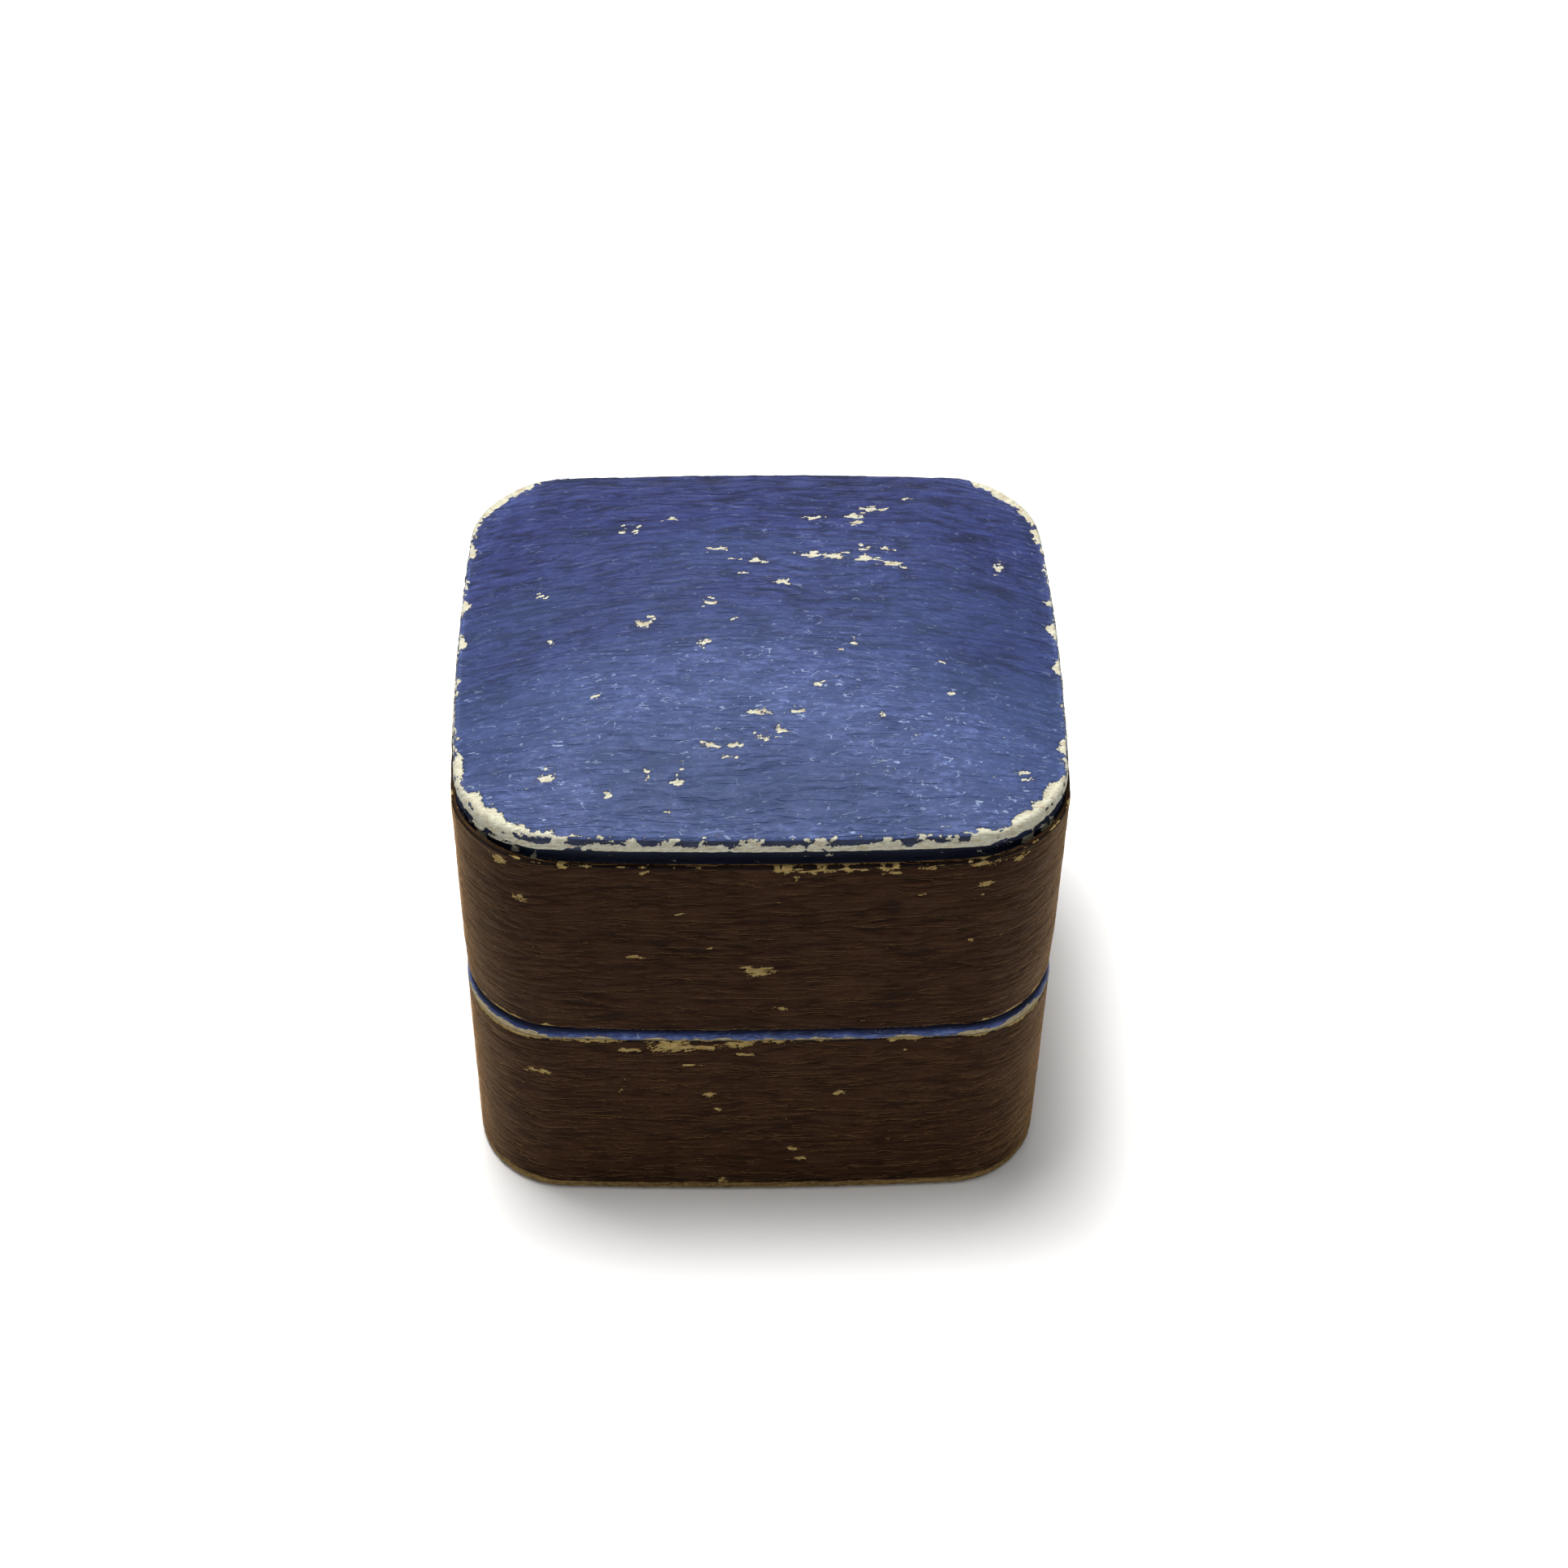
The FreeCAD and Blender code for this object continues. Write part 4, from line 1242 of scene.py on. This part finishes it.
def cloth_points(points, faces, pinned, **settings):
    """Simulates a sheet given in millimetres, and returns where its points settle."""
    mesh = bpy.data.meshes.new("cloth_trial")
    mesh.from_pydata((np.asarray(points) * MM * SIM_SCALE).tolist(), [], faces)
    trial = bpy.data.objects.new("cloth_trial", mesh)
    bpy.context.scene.collection.objects.link(trial)
    settled = simulate_cloth(trial, pinned, **settings) / (MM * SIM_SCALE)
    bpy.data.objects.remove(trial)
    bpy.data.meshes.remove(mesh)
    return settled


def capped(points, settled, cap):
    """Settled points that have moved no more than cap mm."""
    move = settled - points
    length = np.linalg.norm(move, axis=-1, keepdims=True)
    return points + move * np.minimum(1, cap / np.maximum(length, 1e-9))


def pad_plan(count):
    """A ring pad's plan as points: a rounded rectangle on its box, from the middle of its slot side."""
    (x0, y0, _), (x1, y1, _) = PAD_LOW, PAD_HIGH
    outer_r, slot_r = 2.0, 0.5
    path = [(0, y1)]
    for cx, cy, radius, start in (
        (x1 - slot_r, y1 - slot_r, slot_r, 90), (x1 - outer_r, y0 + outer_r, outer_r, 0),
        (x0 + outer_r, y0 + outer_r, outer_r, -90), (x0 + slot_r, y1 - slot_r, slot_r, -180),
    ):
        path += arc((cx, cy), radius, start, start - 90, 9).tolist()
    path.append((0, y1))
    return resample(np.array(path), count + 1)[:-1]


def pad_top_z(x, y, shoulder, crown):
    """The loaf's height: round across the pad, and dropping to the shoulder at its two ends."""
    middle, half = (PAD_LOW[1] + PAD_HIGH[1]) / 2, (PAD_HIGH[1] - PAD_LOW[1]) / 2
    across = np.sqrt(np.clip(1 - 0.94 * ((y - middle) / half) ** 2, 0, 1))
    ends = np.sqrt(np.clip(1 - 0.97 * (np.abs(x) / PAD_HIGH[0]) ** 9, 0, 1))
    return shoulder + (crown - shoulder) * across * ends


def ring_pad():
    """The front pad: rings of its plan, up its sides and in over its top, puffed as stuffed velvet."""
    count = 150
    plan = pad_plan(count)
    middle = np.array([0.0, (PAD_LOW[1] + PAD_HIGH[1]) / 2])
    low = PAD_LOW[2]
    shoulder, crown = 14.2, PAD_HIGH[2] - 0.5
    shrink = 0.3
    direction = plan - middle
    plan = middle + direction * (1 - shrink / np.abs(direction).max(axis=0))
    top_z = pad_top_z(plan[:, 0], plan[:, 1], shoulder, crown)
    loops = [np.column_stack([plan, low + (top_z - low) * t]) for t in np.linspace(0, 1, 14)]
    spine_x = np.clip(plan[:, 0], PAD_LOW[0] + 7.5, PAD_HIGH[0] - 7.5)
    spine = np.column_stack([spine_x, np.full(count, middle[1])])
    for t in np.linspace(0, 1, 18)[1:]:
        ring = plan + (spine - plan) * t
        loops.append(np.column_stack([ring, pad_top_z(ring[:, 0], ring[:, 1], shoulder, crown)]))
    points = np.concatenate(loops)
    return points, len(loops), count


def finish_pads():
    """Both ring pads, from one simulated mesh and its mirror image."""
    points, rows, count = ring_pad()
    faces = [f[::-1] for f in band_faces(rows, count)]
    spine_start = (rows - 1) * count
    pinned = list(range(2 * count)) + list(range(spine_start, spine_start + count, 15))
    settled = cloth_points(points, faces, pinned, frames=26, pressure=2.2, swell=0.035, stiffness=18.0)
    points = capped(points, settled, 0.9)
    points[:, 0] = np.clip(points[:, 0], PAD_LOW[0] - 0.1, PAD_HIGH[0] + 0.1)
    points[:, 1] = np.clip(points[:, 1], PAD_LOW[1] - 0.1, PAD_HIGH[1] + 0.25)
    points[:, 2] = np.clip(points[:, 2], PAD_LOW[2], PAD_HIGH[2] + 0.3)
    for side, where in ((1, "front"), (-1, "back")):
        placed = points * [1, side, 1]
        turned = faces if side > 0 else [f[::-1] for f in faces]
        pad = make_piece(
            f"ring_pad_{where}_velvet", placed, turned, "base", VELVET,
            [f"ring_pad_{where}", f"ring_wadding_{where}"], {"rub": pad_rub(placed)},
        )
        weld(pad, 0.02)


def pad_rub(points):
    """The pile is rubbed where the ring goes in and out of the slot."""
    near = np.exp(-((points[:, 0] / 6) ** 2) - ((points[:, 1]) / 2.2) ** 2)
    return np.clip(near * smoothstep(13, 18, points[:, 2]) * 0.6, 0, 1)


def weld(piece, gap_mm):
    """Joins points that lie together, so that a spine of doubled points closes."""
    work = bmesh.new()
    work.from_mesh(piece.data)
    bmesh.ops.remove_doubles(work, verts=work.verts, dist=gap_mm * MM)
    bmesh.ops.holes_fill(work, edges=[e for e in work.edges if e.is_boundary], sides=0)
    bmesh.ops.recalc_face_normals(work, faces=work.faces)
    work.to_mesh(piece.data)
    work.free()
    piece.data.shade_smooth()


def lid_puff():
    """The satin pad in the lid's top: an over-wide sheet gathered at its edge and puffed downward."""
    count = 300
    inset = (WIDTH - (PUFF_HIGH - PUFF_LOW)[0]) / 2
    columns = PLAN.columns(count)
    ring = columns[1] - inset * columns[2]
    top, sag = PUFF_HIGH[2], PUFF_HIGH[2] - PUFF_LOW[2]
    shares = np.concatenate([[1.0], 1 - 0.07 * np.linspace(0.1, 1, 6), np.linspace(0.91, 0.1, 30)])
    loops = []
    for share in shares:
        depth = (sag - 0.7) * (1 - share**3.0)
        gathers = 0.38 * noise(columns[0] / 1.4, 0.4 * share, 97) + 0.3 * noise(columns[0] / 3.1, share, 98)
        gathers = gathers * smoothstep(0.5, 0.93, share) * smoothstep(1.0, 0.93, share)
        loops.append(np.column_stack([ring * share, top - depth + gathers]))
    points = np.concatenate(loops + [[[0, 0, top - sag + 0.7]]])
    rows = len(shares)
    centre = len(points) - 1
    last = (rows - 1) * count
    faces = [f[::-1] for f in band_faces(rows, count)]
    faces += [(last + (k + 1) % count, last + k, centre) for k in range(count)]
    least = 0.55 * (top - points[:, 2])
    pinned = list(range(count))
    settled = cloth_points(points, faces, pinned, frames=30, pressure=1.2, swell=0.06, stiffness=14.0)
    points = capped(points, settled, 1.6)
    limit = sag + 0.6
    points[:, 2] = top - limit * np.tanh(np.maximum(top - points[:, 2], least) / limit)
    points[:count, 2] = top
    points = np.concatenate([points, [[0, 0, top]]])
    faces += [(k, (k + 1) % count, len(points) - 1) for k in range(count)]
    pad = make_piece(
        "lid_pad_puff", points, faces, "lid", SATIN, ["lid_pad_satin", "lid_pad_wadding"]
    )
    weld(pad, 0.002)


# ---------------------------------------------------------------- carried-over CAD nodes


def repaint():
    """Finishes for the CAD nodes that are shown as they are."""
    finishes = {
        WOOD: ["base_floor", "base_wall", "lid_wall", "lid_top_board"],
        CARD: ["collar_card", "pad_board", "lid_lining_card", "lid_pad_card"],
        PAPER: ["base_bottom_paper"],
        BRASS: [node for node in frame["nodes"] if node.startswith("hinge_")],
    }
    for material, nodes in finishes.items():
        for node in nodes:
            piece = frame["nodes"][node]
            for place in piece.material_slots:
                place.material = material


# ---------------------------------------------------------------- stage, light and camera


def area_light(name, place, target, size, power, colour=(1, 1, 1)):
    """A soft light, in metres and watts."""
    light = bpy.data.lights.new(name, "AREA")
    light.shape = "RECTANGLE"
    light.size, light.size_y = size
    light.energy = power
    light.color = colour
    lamp = bpy.data.objects.new(name, light)
    lamp.location = place
    lamp.rotation_euler = (Vector(target) - Vector(place)).to_track_quat("-Z", "Y").to_euler()
    bpy.context.scene.collection.objects.link(lamp)


def stage():
    """The pale floor, the even world and the two soft lights."""
    floor = bpy.data.meshes.new("floor")
    half = 3.0
    corners = [(-half, -half, 0), (half, -half, 0), (half, half, 0), (-half, half, 0)]
    floor.from_pydata(corners, [], [(0, 1, 2, 3)])
    s = Shader("pale_floor")
    tone = s.noise(s.place(), 0.02, 3.0, 0.5)
    colour = s.mix(s.span(tone, 0.3, 0.7), (0.90, 0.90, 0.90), (0.93, 0.93, 0.93))
    floor.materials.append(s.finish(colour, 0.9, Specular_IOR_Level=0.1))
    plane = bpy.data.objects.new("floor", floor)
    bpy.context.scene.collection.objects.link(plane)

    world = bpy.data.worlds.new("studio")
    world.use_nodes = True
    world.node_tree.nodes["Background"].inputs[0].default_value = (1, 1, 1, 1)
    world.node_tree.nodes["Background"].inputs[1].default_value = 0.22
    bpy.context.scene.world = world
    middle = (0, 0, 0.03)
    area_light("overhead", (-0.055, 0.06, 0.55), middle, (0.17, 0.17), 3.75, (1.0, 0.99, 0.97))
    area_light("ceiling", (0, 0, 4.0), middle, (7.0, 7.0), 55.0)


# The camera: angles in radians, lens in millimetres on a 36 mm sensor
CAMERA_AT = Vector((-3.97, -174.9, 211.66)) * MM
CAMERA_YAW = 0.0358
CAMERA_DOWN = 0.8079
CAMERA_ROLL = 0.0199
LENS = 67.6


def camera():
    """The view: a turn to the right, a look down and a small roll."""
    data = bpy.data.cameras.new("camera")
    data.lens = LENS
    data.sensor_width = 36.0
    data.clip_start, data.clip_end = 0.01, 20.0
    eye = bpy.data.objects.new("camera", data)
    level = math.cos(CAMERA_DOWN)
    forward = Vector((math.sin(CAMERA_YAW) * level, math.cos(CAMERA_YAW) * level, -math.sin(CAMERA_DOWN)))
    right = Vector((math.cos(CAMERA_YAW), -math.sin(CAMERA_YAW), 0))
    up = right.cross(forward)
    rolled_right = right * math.cos(CAMERA_ROLL) + up * math.sin(CAMERA_ROLL)
    rolled_up = up * math.cos(CAMERA_ROLL) - right * math.sin(CAMERA_ROLL)
    rows = [(rolled_right[k], rolled_up[k], -forward[k], CAMERA_AT[k]) for k in range(3)]
    eye.matrix_world = Matrix([*rows, (0, 0, 0, 1)])
    bpy.context.scene.collection.objects.link(eye)
    bpy.context.scene.camera = eye
    bpy.context.scene.view_settings.view_transform = "Standard"


camera()
stage()
lid_top()
sides()
rims()
bottom_panel()
collar()
lid_lining()
finish_pads()
lid_puff()
repaint()
